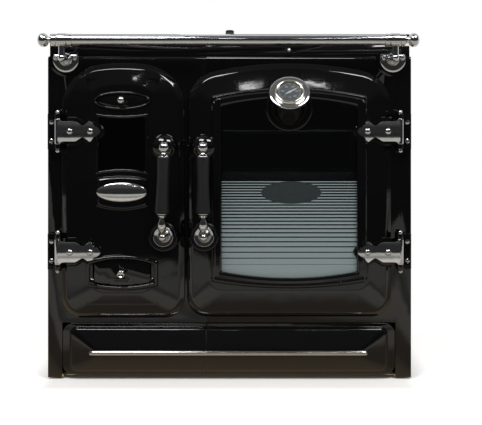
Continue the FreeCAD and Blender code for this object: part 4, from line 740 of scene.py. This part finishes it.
piece("thermometer_flange", [ring(on_gauge(flange[:, :1], a[None, :], flange[:, 1:]))], chrome, "oven_door", "chrome")
piece("thermometer_rim", [ring(on_gauge(rim[:, :1], a[None, :], rim[:, 1:]))], brass, "oven_door", "brass",
      "thermometer_bezel")

# The dial is a printed aluminium disc: grey ink with a faint print grain, the scale and its figures in white.
ink = clouded("grey_printed_aluminium_dial", ("#3d3f45", "#54565c"), (0.7, 2.0), (0.4,))
paint(ink, "thermometer_dial")
print_white = clouded("white_screen_print", ("#c9ccd0", "#e6e8ea"), (0.6, 2.0), (0.45,))
print_low, print_high = 5.02, 5.14


def tick(bearing, r0, r1, half):
    """One printed mark: a thin block from radius r0 to r1, half wide to each side of its bearing."""
    r = np.array([r0, r1, r1, r0])
    turn = bearing + np.array([-half, -half, half, half]) / r
    return capped(np.array([on_gauge(r, turn, print_low), on_gauge(r, turn, print_high)]))


def figure(words, size, bearing, radius):
    """Printed figures, upright on the dial, size mm high, centred at radius and bearing."""
    text = bpy.data.curves.new("figure", "FONT")
    text.body, text.size, text.align_x, text.align_y = words, size / 1000, "CENTER", "CENTER"
    text.extrude = (print_high - print_low) / 2000
    holder = bpy.data.objects.new("figure", text)
    mesh = bpy.data.meshes.new_from_object(holder)
    flat = np.array([v.co[:] for v in mesh.vertices])
    faces = [list(p.vertices) for p in mesh.polygons]
    bpy.data.objects.remove(holder)
    up = np.array([0.0, math.sin(tilt), math.cos(tilt)])
    centre = on_gauge(radius, bearing, (print_low + print_high) / 2)
    return centre + flat[:, :1] * np.array([1.0, 0.0, 0.0]) + flat[:, 1:2] * up + flat[:, 2:] * gauge_axis, faces


sweep = np.radians(np.linspace(-135, 135, 51))
marks = [tick(b, 23.0 if k % 5 == 0 else 24.6, 27.0, 0.42 if k % 5 == 0 else 0.2) for k, b in enumerate(sweep)]
marks += [figure(str(100 * k), 5.2, math.radians(-135 + 54 * k), 17.6) for k in range(6)]
marks += [figure("°C", 5.6, math.pi, 16.0)]
piece("dial_print", marks, print_white, "oven_door", "dial")
needle_turn = math.radians(58.0)
blade = np.array([(-12, 0.9), (-4, 1.5), (14, 1.3), (21.5, 0.35), (21.5, -0.35), (14, -1.3), (-4, -1.5), (-12, -0.9)])


def on_needle(points, along):
    """Points of the pointer: (how far towards its tip, how far across) from its pivot."""
    r, turn = np.hypot(points[:, 0], points[:, 1]), np.arctan2(points[:, 1], points[:, 0])
    return on_gauge(r, needle_turn + turn, along)


hub = profile([(0, 5.3), (3.0, 5.3), (3.0, 6.4), (1.6, 6.8), (0, 6.8)], 0.3)
piece("pointer", [capped(np.array([on_needle(blade, 5.45), on_needle(blade, 6.0)])),
                  capped(on_gauge(hub[:, :1], a[None, ::3], hub[:, 1:]))],
      print_white, "thermometer_pointer", "dial", "thermometer_needle")

# ------------------------------------------------------------------ door glass, its print, and the rope seals
# Ceramic glass panes held behind the castings. The oven's pane is screen printed on its lower half with pale
# lines that thicken downwards until they close, and has one bare oval in them.


def clear_pane(tree, tint, rough):
    """Clear glass: it lets light through, darkened to the tint at each face, and reflects more the more
    glancing the view."""
    through = add(tree, "ShaderNodeBsdfTransparent", {"Color": tint})
    shine = add(tree, "ShaderNodeBsdfGlossy", {"Color": (1.0, 1.0, 1.0, 1.0), "Roughness": rough})
    share = add(tree, "ShaderNodeFresnel", {"IOR": 1.5})
    return add(tree, "ShaderNodeMixShader", {0: share.outputs["Fac"], 1: through.outputs["BSDF"],
                                             2: shine.outputs["BSDF"]}).outputs["Shader"]


def glass_finish(name, thin, thick, cloud_mm):
    """A pane whose tint drifts between two tones over cloud_mm."""
    made, tree, place, out = new_finish(name)
    cloud = add(tree, "ShaderNodeTexNoise", {"Vector": place, "Scale": 1000 / cloud_mm, "Detail": 4.0})
    tint = add(tree, "ShaderNodeMix", {"Factor": cloud.outputs["Fac"], "A": linear(thin), "B": linear(thick)},
               data_type="RGBA")
    rough = add(tree, "ShaderNodeMapRange", {"Value": cloud.outputs["Fac"], "To Min": 0.01, "To Max": 0.04})
    tree.links.new(clear_pane(tree, tint.outputs["Result"], rough.outputs["Result"]), out.inputs["Surface"])
    return made


paint(glass_finish("clear_toughened_glass", "#f4f6f5", "#fbfcfb", 30), "thermometer_glass")
paint(glass_finish("sooted_ceramic_glass", "#2c2b2a", "#454341", 60), "fire_door_glass")
paint(glass_finish("low_emissivity_inner_glass", "#eff1f2", "#f6f7f8", 80), "oven_door_inner_glass")

printed, tree, place, out = new_finish("screen_printed_toughened_glass")
axes = add(tree, "ShaderNodeSeparateXYZ", {"Vector": place})


def work_out(operation, *terms):
    """The result of one step of arithmetic on the print's places."""
    return add(tree, "ShaderNodeMath", dict(enumerate(terms)), operation=operation).outputs["Value"]


# below is how many mm a point lies under the top of the print. The lines' phase is 25.6 atan(0.0061 below), and
# ink lies where its fraction is under a share that grows from 0.38 to 0.9.
print_top, closed_below = 0.4905, 205.0
bare_x, bare_z, bare_long, bare_high = 152.8, 462.8, 73.5, 27.8
below = work_out("MULTIPLY_ADD", axes.outputs["Z"], -1000.0, print_top * 1000)
phase = work_out("MULTIPLY", work_out("ARCTANGENT", work_out("MULTIPLY", below, 0.0061)), 25.6)
share = add(tree, "ShaderNodeMapRange", {"Value": below, "From Max": closed_below, "To Min": 0.38, "To Max": 0.90})
line_ink = work_out("LESS_THAN", work_out("FRACT", phase), share.outputs["Result"])
inked = work_out("MAXIMUM", line_ink, work_out("GREATER_THAN", below, closed_below))
inked = work_out("MULTIPLY", inked, work_out("GREATER_THAN", below, 0.0))
oval_u = work_out("MULTIPLY_ADD", axes.outputs["X"], 1000 / bare_long, -bare_x / bare_long)
oval_v = work_out("MULTIPLY_ADD", axes.outputs["Z"], 1000 / bare_high, -bare_z / bare_high)
oval_reach = work_out("ADD", work_out("MULTIPLY", oval_u, oval_u), work_out("MULTIPLY", oval_v, oval_v))
inked = work_out("MULTIPLY", inked, work_out("GREATER_THAN", oval_reach, 1.0))
in_oval = work_out("MULTIPLY", work_out("LESS_THAN", oval_reach, 1.0), 0.12)
inked = work_out("MAXIMUM", inked, in_oval)
grain = add(tree, "ShaderNodeTexNoise", {"Vector": place, "Scale": 1 / 0.0012, "Detail": 3.0})
tone = add(tree, "ShaderNodeMix", {"Factor": grain.outputs["Fac"], "A": linear("#687272"), "B": linear("#7a8585")},
           data_type="RGBA")
ink_skin = add(tree, "ShaderNodeBsdfPrincipled", {"Base Color": tone.outputs["Result"], "Roughness": 0.09})
tint = add(tree, "ShaderNodeMix", {"Factor": grain.outputs["Fac"], "A": linear("#cfd2d4"), "B": linear("#d8dadc")},
           data_type="RGBA")
pane_skin = clear_pane(tree, tint.outputs["Result"], 0.02)
both = add(tree, "ShaderNodeMixShader", {0: inked, 1: pane_skin, 2: ink_skin.outputs["BSDF"]})
tree.links.new(both.outputs["Shader"], out.inputs["Surface"])
paint(printed, "oven_door_glass")

# Braided glass-fibre rope, pressed on behind each rib: charcoal strands crossing on the slant every 4 mm.
rope, tree, place, out = new_finish("braided_glass_fibre_rope")
strands = add(tree, "ShaderNodeTexWave", {"Vector": place, "Scale": 1 / 0.004 / 20, "Distortion": 2.0},
              bands_direction="DIAGONAL")
fibre = add(tree, "ShaderNodeTexNoise", {"Vector": place, "Scale": 1 / 0.0008, "Detail": 3.0})
tone = add(tree, "ShaderNodeMix", {"Factor": strands.outputs["Fac"], "A": linear("#4a4947"), "B": linear("#77746e")},
           data_type="RGBA")
plait = add(tree, "ShaderNodeBump", {"Height": strands.outputs["Fac"], "Strength": 0.6, "Distance": 0.0008})
fluff = add(tree, "ShaderNodeBump", {"Height": fibre.outputs["Fac"], "Strength": 0.4, "Distance": 0.0003,
                                     "Normal": plait.outputs["Normal"]})
skin = add(tree, "ShaderNodeBsdfPrincipled", {"Base Color": tone.outputs["Result"], "Roughness": 0.9,
                                              "Normal": fluff.outputs["Normal"]})
tree.links.new(skin.outputs["BSDF"], out.inputs["Surface"])


def rounded_box(x0, x1, z0, z1, corner):
    """An upright rectangle with round corners, counter-clockwise from its lower left."""
    quarter = math.pi / 2
    return loop_of([line((x0 + corner, z0), (x1 - corner, z0), 24),
                    arc((x1 - corner, z0 + corner), corner, -quarter, 0, 8),
                    line((x1, z0 + corner), (x1, z1 - corner), 8),
                    arc((x1 - corner, z1 - corner), corner, 0, quarter, 8),
                    line((x1 - corner, z1), (x0 + corner, z1), 24),
                    arc((x0 + corner, z1 - corner), corner, quarter, 2 * quarter, 8),
                    line((x0, z1 - corner), (x0, z0 + corner), 8),
                    arc((x0 + corner, z0 + corner), corner, 2 * quarter, 3 * quarter, 8)])


def rope_loop(mid, half, low, high):
    """The rope's round section, 6 mm wide and 6.4 mm deep, carried round a rectangle."""
    turn = np.linspace(0, 2 * math.pi, 14, endpoint=False)
    return ring(np.array([lay(rounded_box(mid - half + d, mid + half - d, low + d, high - d, 9.0 - d), o)
                          for d, o in zip(3.0 - 2.95 * np.cos(turn), 3.8 + 3.15 * np.sin(turn))]))


piece("rope_fire", [rope_loop(*fire_seal)], rope, "fire_door", "rope", "fire_door_rope_seal")
piece("rope_oven", [rope_loop(*oven_seal)], rope, "oven_door", "rope", "oven_door_rope_seal")

# ------------------------------------------------------------------ towel rail
# A chromed tube across the front. Each bracket is a half-round plate with two bosses, a cup and a bent arm up to
# a collar; turned collars stand on both sides of it, and a bun ends the rail.
rail_z, rail_out, bracket_x, bracket_z = 834.0, 50.0, 404.0, 791.0
sideways = (1, 0, 0)
piece("rail_bar", [turned([(0, -426), (13, -426), (13, -210), (13, 0), (13, 210), (13, 426), (0, 426)],
                          at(0, rail_out, rail_z), sideways, 72)], chrome, "cooker", "chrome", "rail_tube")


def half_plate(x):
    """The half-round plate: a circle of 32 mm cut off straight 13 mm above its middle, its front edge rounded."""
    def outline(d):
        """The plate's edge, drawn in by d."""
        r, top = 32.0 - d, 13.0 - d
        start, top_z = math.asin(top / r), bracket_z + top
        return loop_of([arc((x, bracket_z), r, math.pi - start, 2 * math.pi + start, 60),
                        line((x + r * math.cos(start), top_z), (x - r * math.cos(start), top_z), 12)])
    return capped(filleted(laid(outline, (0.0, 4.0), (0.0, 7.6), (3.4, 9.6), (6.0, 10.0)), [1.2, 2.4], 4))


def bracket(x):
    """One bracket at x: plate, cup, arm, bent corner, collar and the two bosses."""
    foot = at(x, 0, bracket_z)
    cup = turned(profile([(0, 6), (16.5, 6), (16.5, 9.6), (13.5, 12.0), (12.4, 16.0), (9.0, 26.0), (8.0, 36.0),
                          (8.0, 50.0), (0, 50.0)], 2.0), foot)
    post = turned([(0, 0), (8, 0), (8, 20), (8, 43), (0, 43)], at(x, rail_out, bracket_z), (0, 0, 1))
    collar = turned(profile([(12.9, -12.5), (15.0, -12.5), (16.5, -10.5), (16.5, 10.5), (15.0, 12.5), (12.9, 12.5)],
                            1.2), at(x, rail_out, rail_z), sideways, 64)
    ears = [bead(at(x + s * 23.5, 11.3, bracket_z + 3), 6.0) for s in (-1, 1)]
    return [half_plate(x), cup, post, bead(at(x, rail_out, bracket_z), 9.4), collar] + ears


piece("rail_holders", bracket(-bracket_x) + bracket(bracket_x), chrome, "cooker", "chrome", "rail_brackets")
across_bun = np.linspace(-1, 1, 25)[1:-1]
bun = np.stack([17.0 * (1 - np.abs(across_bun) ** 2.2) ** (1 / 2.2), 449.0 + 13.5 * across_bun], -1)
inner_collar = profile([(12.9, 378.5), (14.4, 378.5), (15.5, 380.2), (15.5, 389.8), (14.4, 391.5),
                        (12.9, 391.5)], 0.9)
outer_collar = profile([(12.9, 416.5), (14.4, 416.5), (15.5, 418.2), (15.5, 427.4), (13.0, 429.5), (9.5, 430.2),
                        (8.0, 433.0), (8.0, 438.0), (0, 438.0)], 1.0)
for_end = np.concatenate([[(0, 426.3), (12.9, 426.3)], outer_collar])
ends = []
for side in (-1, 1):
    ends += [turned(shape, at(0, rail_out, rail_z), (side, 0, 0), 64) for shape in
             (inner_collar, for_end, np.concatenate([[(0, 435.5)], bun, [(0, 462.5)]]))]
piece("rail_end_turnings", ends, chrome, "cooker", "chrome", "rail_finials")

# ------------------------------------------------------------------ log drawer
# Two iron castings form the front: a flat rim, a cast step, and a field hipped up to a long ridge. A half-round
# chromed strip lies on the ridge and is the pull; behind is a folded sheet-steel box.
seam_x, seam = -56.5, 1.6
drawer_left, drawer_right, drawer_low, drawer_high = -413.0, 409.5, 12, 138.5
ridge_out, ridge_z, strip_r = 25.0, 70.0, 6.0


def drawer_front(low_x, high_x):
    """The whole front's rows, each point's x held between low_x and high_x, so that the cut is a flat wall."""
    def row(side, bottom, top, corner, out):
        """A round-cornered loop, drawn in from the front's edge by side, bottom and top, out mm in front."""
        loop = rounded_box(drawer_left + side, drawer_right - side, drawer_low + bottom, drawer_high - top, corner)
        loop[:, 0] = np.clip(loop[:, 0], low_x, high_x)
        return lay(loop, out)
    rim = [row(0, 0, 0, 24, -9.0), row(0, 0, 0, 24, 2.0), row(18, 6, 9, 20, 2.0), row(22, 10, 13, 17, 10.0)]
    ridge = [row(82, 50, 60.5, 7.9, ridge_out - 0.2), row(86, 54, 64.5, 3.9, ridge_out)]
    return capped(filleted(rim + ridge, [1.5, 2.2, 4.0, 12.0], 5))


for side, low_x, high_x in (("left", -500, seam_x - seam / 2), ("right", seam_x + seam / 2, 500)):
    piece("drawer_casting_" + side, [drawer_front(low_x, high_x)], enamel, "log_drawer", "enamel",
          "drawer_front_" + side)


def half_round(x, radius):
    """One section of the strip at x: a half circle on the ridge."""
    turn = np.linspace(0, math.pi, 17)
    return at(x + 0 * turn, ridge_out + radius * np.sin(turn), ridge_z + radius * np.cos(turn))


strip_ends = [(-341.75, 4.4), (-341.2, 5.4), (-340.2, strip_r)]
piece("drawer_pull", [capped(np.array([half_round(x, r) for x, r in strip_ends] +
                                      [half_round(x, strip_r) for x in np.linspace(-330, 326, 9)] +
                                      [half_round(-3.5 - x, r) for x, r in strip_ends[::-1]]))],
      chrome, "log_drawer", "chrome", "drawer_strip")

# ------------------------------------------------------------------ hob, flue, fire and oven insides
# Blacked cast iron: a dull, slightly open grey-black surface, ground flat on the hob and rough from the sand
# in the grate and the flue collar.
iron = clouded("blacked_cast_iron", ("#232325", "#37383a"), (60, 3.0), (0.42, 0.58), grain=(1.8, 5.0, 0.35, 0.4),
               sockets={"Metallic": 0.4})
paint(iron, "hob_plate_left", "hob_plate_right", "hob_ring", "hob_disc", "fire_grate", "flue_collar")

# Sheet steel with a black heat-proof coat, dulled and greyed by soot, for the fire's shell and the oven.
coat = clouded("heat_blackened_sheet_steel", ("#121213", "#242322"), (70, 6.0), (0.45, 0.75))
paint(coat, "firebox_shell", "oven_box")

# Bare rolled steel: a grey sheen with fine rolling lines 0.4 mm apart along the drawer, trays and pan.
rolled, tree, place, out = new_finish("rolled_sheet_steel")
mill = add(tree, "ShaderNodeMapping", {"Vector": place, "Scale": (12.0, 1 / 0.0004, 1 / 0.0004)})
lines = add(tree, "ShaderNodeTexNoise", {"Vector": mill.outputs["Vector"], "Scale": 1.0, "Detail": 2.0})
tone = add(tree, "ShaderNodeMix", {"Factor": lines.outputs["Fac"], "A": linear("#8d8e90"), "B": linear("#b0b1b3")},
           data_type="RGBA")
rough = add(tree, "ShaderNodeMapRange", {"Value": lines.outputs["Fac"], "To Min": 0.30, "To Max": 0.44})
skin = add(tree, "ShaderNodeBsdfPrincipled", {"Base Color": tone.outputs["Result"], "Metallic": 1.0,
                                              "Roughness": rough.outputs["Result"]})
tree.links.new(skin.outputs["BSDF"], out.inputs["Surface"])
paint(rolled, "ash_pan", "oven_tray", "drawer_box")
paint(chrome, "oven_shelf", "flue_damper")

# Pressed vermiculite: pale golden-buff flakes 2 to 3 mm across in a chalky, matt block.
brick, tree, place, out = new_finish("pressed_vermiculite_brick")
flakes = add(tree, "ShaderNodeTexVoronoi", {"Vector": place, "Scale": 1 / 0.0026})
tone = add(tree, "ShaderNodeMix", {"Factor": flakes.outputs["Distance"], "A": linear("#b8a27c"),
                                   "B": linear("#8d7a5c")}, data_type="RGBA")
pits = add(tree, "ShaderNodeBump", {"Height": flakes.outputs["Distance"], "Strength": 0.5, "Distance": 0.0006})
skin = add(tree, "ShaderNodeBsdfPrincipled", {"Base Color": tone.outputs["Result"], "Roughness": 0.9,
                                              "Normal": pits.outputs["Normal"]})
tree.links.new(skin.outputs["BSDF"], out.inputs["Surface"])
paint(brick, "firebox_bricks")

# ------------------------------------------------------------------ regulator knob
# A small turned knob at the front of the hob, moulded in black phenolic with a rounded crown and a skirt.
low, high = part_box("regulator_knob")
crown_high = 13.0
knob_foot = ((low.x + high.x) / 2, (low.y + high.y) / 2, high.z - crown_high / 1000)
crown = profile([(0, 0.3), (12.8, 0.3), (13.0, 2.0), (10.6, 4.8), (10.4, 7.0), (10.8, 10.5), (8.4, 12.6),
                 (3.0, crown_high), (0, crown_high)], 1.1)
sunk = (low.z - high.z) * 1000 + crown_high + 0.2
piece("regulator_turning", [turned(crown, knob_foot, (0, 0, 1)),
                            turned([(0, sunk), (3.9, sunk), (3.9, 2), (0, 2)], knob_foot, (0, 0, 1), 24)], phenolic,
      "regulator", "black_plastic", "regulator_knob")

# ------------------------------------------------------------------ studio
# A pale floor and a white background. In front of the cooker the studio is dim, with a pale strip of floor, two
# soft boxes overhead and three narrow strips, which the glaze and the chrome show as patches and thin lines.
floor_mesh = bpy.data.meshes.new("floor")
floor_mesh.from_pydata([(-9, -9, 0), (9, -9, 0), (9, 9, 0), (-9, 9, 0)], [], [(0, 1, 2, 3)])
floor = bpy.data.objects.new("floor", floor_mesh)
bpy.context.scene.collection.objects.link(floor)
boards, tree, place, out = new_finish("pale_studio_floor")
ray = add(tree, "ShaderNodeLightPath")
axes = add(tree, "ShaderNodeSeparateXYZ", {"Vector": place})
# away is how far a point of the floor lies outside the cooker's plan, 0.90 by 0.68 m. Beside it the floor keeps
# the cooker's shadow under a faint painted glow that lifts it, with no glow inside the plan, and fades to white
# within 0.45 m.
white_fade = 0.45
beyond = []
for side, half in (("X", 0.45), ("Y", 0.34)):
    far = add(tree, "ShaderNodeMath", {0: axes.outputs[side]}, operation="ABSOLUTE")
    beyond.append(add(tree, "ShaderNodeMath", {0: far.outputs["Value"], 1: half}, operation="SUBTRACT"))
away = add(tree, "ShaderNodeMath", {0: beyond[0].outputs["Value"], 1: beyond[1].outputs["Value"]},
           operation="MAXIMUM")
fade = add(tree, "ShaderNodeMapRange", {"Value": away.outputs["Value"], "From Min": 0.0, "From Max": white_fade},
           interpolation_type="SMOOTHSTEP")
painted_glow_mask = add(tree, "ShaderNodeMapRange", {"Value": away.outputs["Value"], "From Min": -0.02, "From Max": 0.06})
ground = add(tree, "ShaderNodeBsdfDiffuse", {"Color": linear("#f4f2ef")})
white = add(tree, "ShaderNodeEmission", {"Color": (1.0, 1.0, 1.0, 1.0), "Strength": 1.0})
# Painted glow: a faint emission, 0.45 strong, brightens the floor outside the cooker's plan and lifts the shadow
# there.
lift = add(tree, "ShaderNodeEmission", {"Color": (1.0, 1.0, 1.0, 1.0), "Strength": 0.45})
lift = add(tree, "ShaderNodeMixShader", {0: painted_glow_mask.outputs["Result"], 2: lift.outputs["Emission"]})
near = add(tree, "ShaderNodeAddShader", {0: ground.outputs["BSDF"], 1: lift.outputs["Shader"]})
pale = add(tree, "ShaderNodeMixShader", {0: fade.outputs["Result"], 1: near.outputs["Shader"],
                                         2: white.outputs["Emission"]})
# What gloss sees of the floor: in front, bands of tone by distance, warm beside the cooker, then a pale strip,
# then dim; behind it, near white. The tones are linear.
forward = add(tree, "ShaderNodeMapRange", {"Value": axes.outputs["Y"], "From Min": -0.25, "From Max": -2.75})
bands = add(tree, "ShaderNodeValToRGB", {"Fac": forward.outputs["Result"]})
stops = bands.color_ramp.elements
for spot, colour in ((0.045, (0.30, 0.245, 0.18, 1)), (0.115, (0.30, 0.25, 0.19, 1)), (0.15, (0.76, 0.71, 0.60, 1)),
                     (0.25, (0.80, 0.77, 0.70, 1)), (0.32, (0.30, 0.295, 0.27, 1)), (0.42, (0.42, 0.41, 0.37, 1)),
                     (0.52, (0.62, 0.61, 0.56, 1)), (0.80, (0.62, 0.61, 0.56, 1)), (0.88, (0.02, 0.02, 0.02, 1))):
    stops.new(spot).color = colour
stops[0].color, stops[-1].color = (0.72, 0.56, 0.35, 1), (0.02, 0.02, 0.02, 1)
behind = add(tree, "ShaderNodeMapRange", {"Value": axes.outputs["Y"], "From Min": -0.20, "From Max": 0.1})
seen_colour = add(tree, "ShaderNodeMix", {"Factor": behind.outputs["Result"], "A": bands.outputs["Color"],
                                          "B": (0.9, 0.9, 0.9, 1.0)}, data_type="RGBA")
shine = add(tree, "ShaderNodeEmission", {"Color": seen_colour.outputs["Result"], "Strength": 1.0})
look = add(tree, "ShaderNodeMixShader", {0: ray.outputs["Is Glossy Ray"], 1: pale.outputs["Shader"],
                                         2: shine.outputs["Emission"]})
tree.links.new(look.outputs["Shader"], out.inputs["Surface"])
floor_mesh.materials.append(boards)

# The room: gloss sees it dim in front, a little paler higher up, and near white behind; the camera sees white.
world = bpy.data.worlds.new("studio")
bpy.context.scene.world = world
world.use_nodes = True
tree = world.node_tree
tree.nodes.clear()
ray = add(tree, "ShaderNodeLightPath")
direction = add(tree, "ShaderNodeTexCoord").outputs["Generated"]
axes = add(tree, "ShaderNodeSeparateXYZ", {"Vector": direction})
behind = add(tree, "ShaderNodeMapRange", {"Value": axes.outputs["Y"], "From Min": -0.05, "From Max": 0.25})
height = add(tree, "ShaderNodeMapRange", {"Value": axes.outputs["Z"], "From Min": 0.22, "From Max": 0.36,
                                          "To Min": 0.03, "To Max": 0.08})
zenith = add(tree, "ShaderNodeMapRange", {"Value": axes.outputs["Z"], "From Min": 0.5, "From Max": 1.0,
                                          "To Min": 0.0, "To Max": 0.07})
level = add(tree, "ShaderNodeMath", {0: height.outputs["Result"], 1: zenith.outputs["Result"]})
room = add(tree, "ShaderNodeCombineColor", dict.fromkeys(("Red", "Green", "Blue"), level.outputs["Value"]))
glossy = add(tree, "ShaderNodeMix", {"Factor": behind.outputs["Result"], "A": room.outputs["Color"],
                                     "B": (0.9, 0.9, 0.9, 1.0)}, data_type="RGBA")
plain = add(tree, "ShaderNodeMix", {"Factor": ray.outputs["Is Glossy Ray"], "A": (0.42, 0.42, 0.42, 1.0),
                                    "B": glossy.outputs["Result"]}, data_type="RGBA")
seen = add(tree, "ShaderNodeMath", {0: ray.outputs["Is Camera Ray"], 1: ray.outputs["Is Transmission Ray"]},
           operation="MAXIMUM")
shown = add(tree, "ShaderNodeMix", {"Factor": seen.outputs["Value"], "A": plain.outputs["Result"],
                                    "B": (1.0, 1.0, 1.0, 1.0)}, data_type="RGBA")
sky = add(tree, "ShaderNodeBackground", {"Color": shown.outputs["Result"], "Strength": 1.0})
add(tree, "ShaderNodeOutputWorld", {"Surface": sky.outputs["Background"]})


def soft_box(name, place, aim, width, height, watts):
    """A flat lamp that faces the point aim; the camera doesn't see it, reflections do."""
    lamp = bpy.data.lights.new(name, "AREA")
    lamp.shape, lamp.size, lamp.size_y, lamp.energy = "RECTANGLE", width, height, watts
    made = bpy.data.objects.new(name, lamp)
    bpy.context.scene.collection.objects.link(made)
    made.location = place
    made.rotation_mode = "QUATERNION"
    made.rotation_quaternion = (Vector(aim) - Vector(place)).to_track_quat("-Z", "Y")
    made.visible_camera = False


soft_box("soft_box_left", (-0.95, -1.55, 2.60), (-0.3, -0.25, 0.5), 1.3, 0.6, 40)
soft_box("soft_box_right", (1.21, -1.55, 2.60), (0.6, -0.25, 0.5), 1.2, 0.6, 40)
soft_box("strip_oven_left", (-0.130, -2.75, 2.034), (-0.130, -0.25, 0.6), 0.140, 0.047, 0.37)
soft_box("strip_oven_right", (0.425, -2.75, 2.034), (0.425, -0.25, 0.6), 0.264, 0.047, 0.70)
soft_box("strip_fire", (-0.510, -2.75, 2.445), (-0.510, -0.25, 0.6), 0.067, 0.050, 0.19)

# The camera stands a little to the right of the middle, level, at about the height of the upper hinges. One
# pixel of the picture is 2.479 mm at the castings' face, and the shift puts the cooker's middle on middle_column
# and its top, cooker_high metres up, on top_row, as the picture has them.
sensor_mm, picture_wide, picture_high, pixel = 36.0, 482, 425, 2.479e-3
camera_x, camera_z, camera_far = 0.103, 0.575, 2.2
middle_column, top_row, cooker_high = 229.5, 36, 0.850
camera_data = bpy.data.cameras.new("camera")
camera = bpy.data.objects.new("camera", camera_data)
bpy.context.scene.collection.objects.link(camera)
camera.location = (camera_x, face / 1000 - camera_far, camera_z)
camera.rotation_euler = (math.pi / 2, 0.0, 0.0)
camera_data.sensor_width = sensor_mm
camera_data.lens = sensor_mm * camera_far / (picture_wide * pixel)
camera_data.shift_x = (picture_wide / 2 - middle_column - camera_x / pixel) / picture_wide
camera_data.shift_y = (top_row + (cooker_high - camera_z) / pixel - picture_high / 2) / picture_wide
camera_data.clip_end = 60.0
bpy.context.scene.camera = camera
bpy.context.scene.view_settings.view_transform = "Standard"
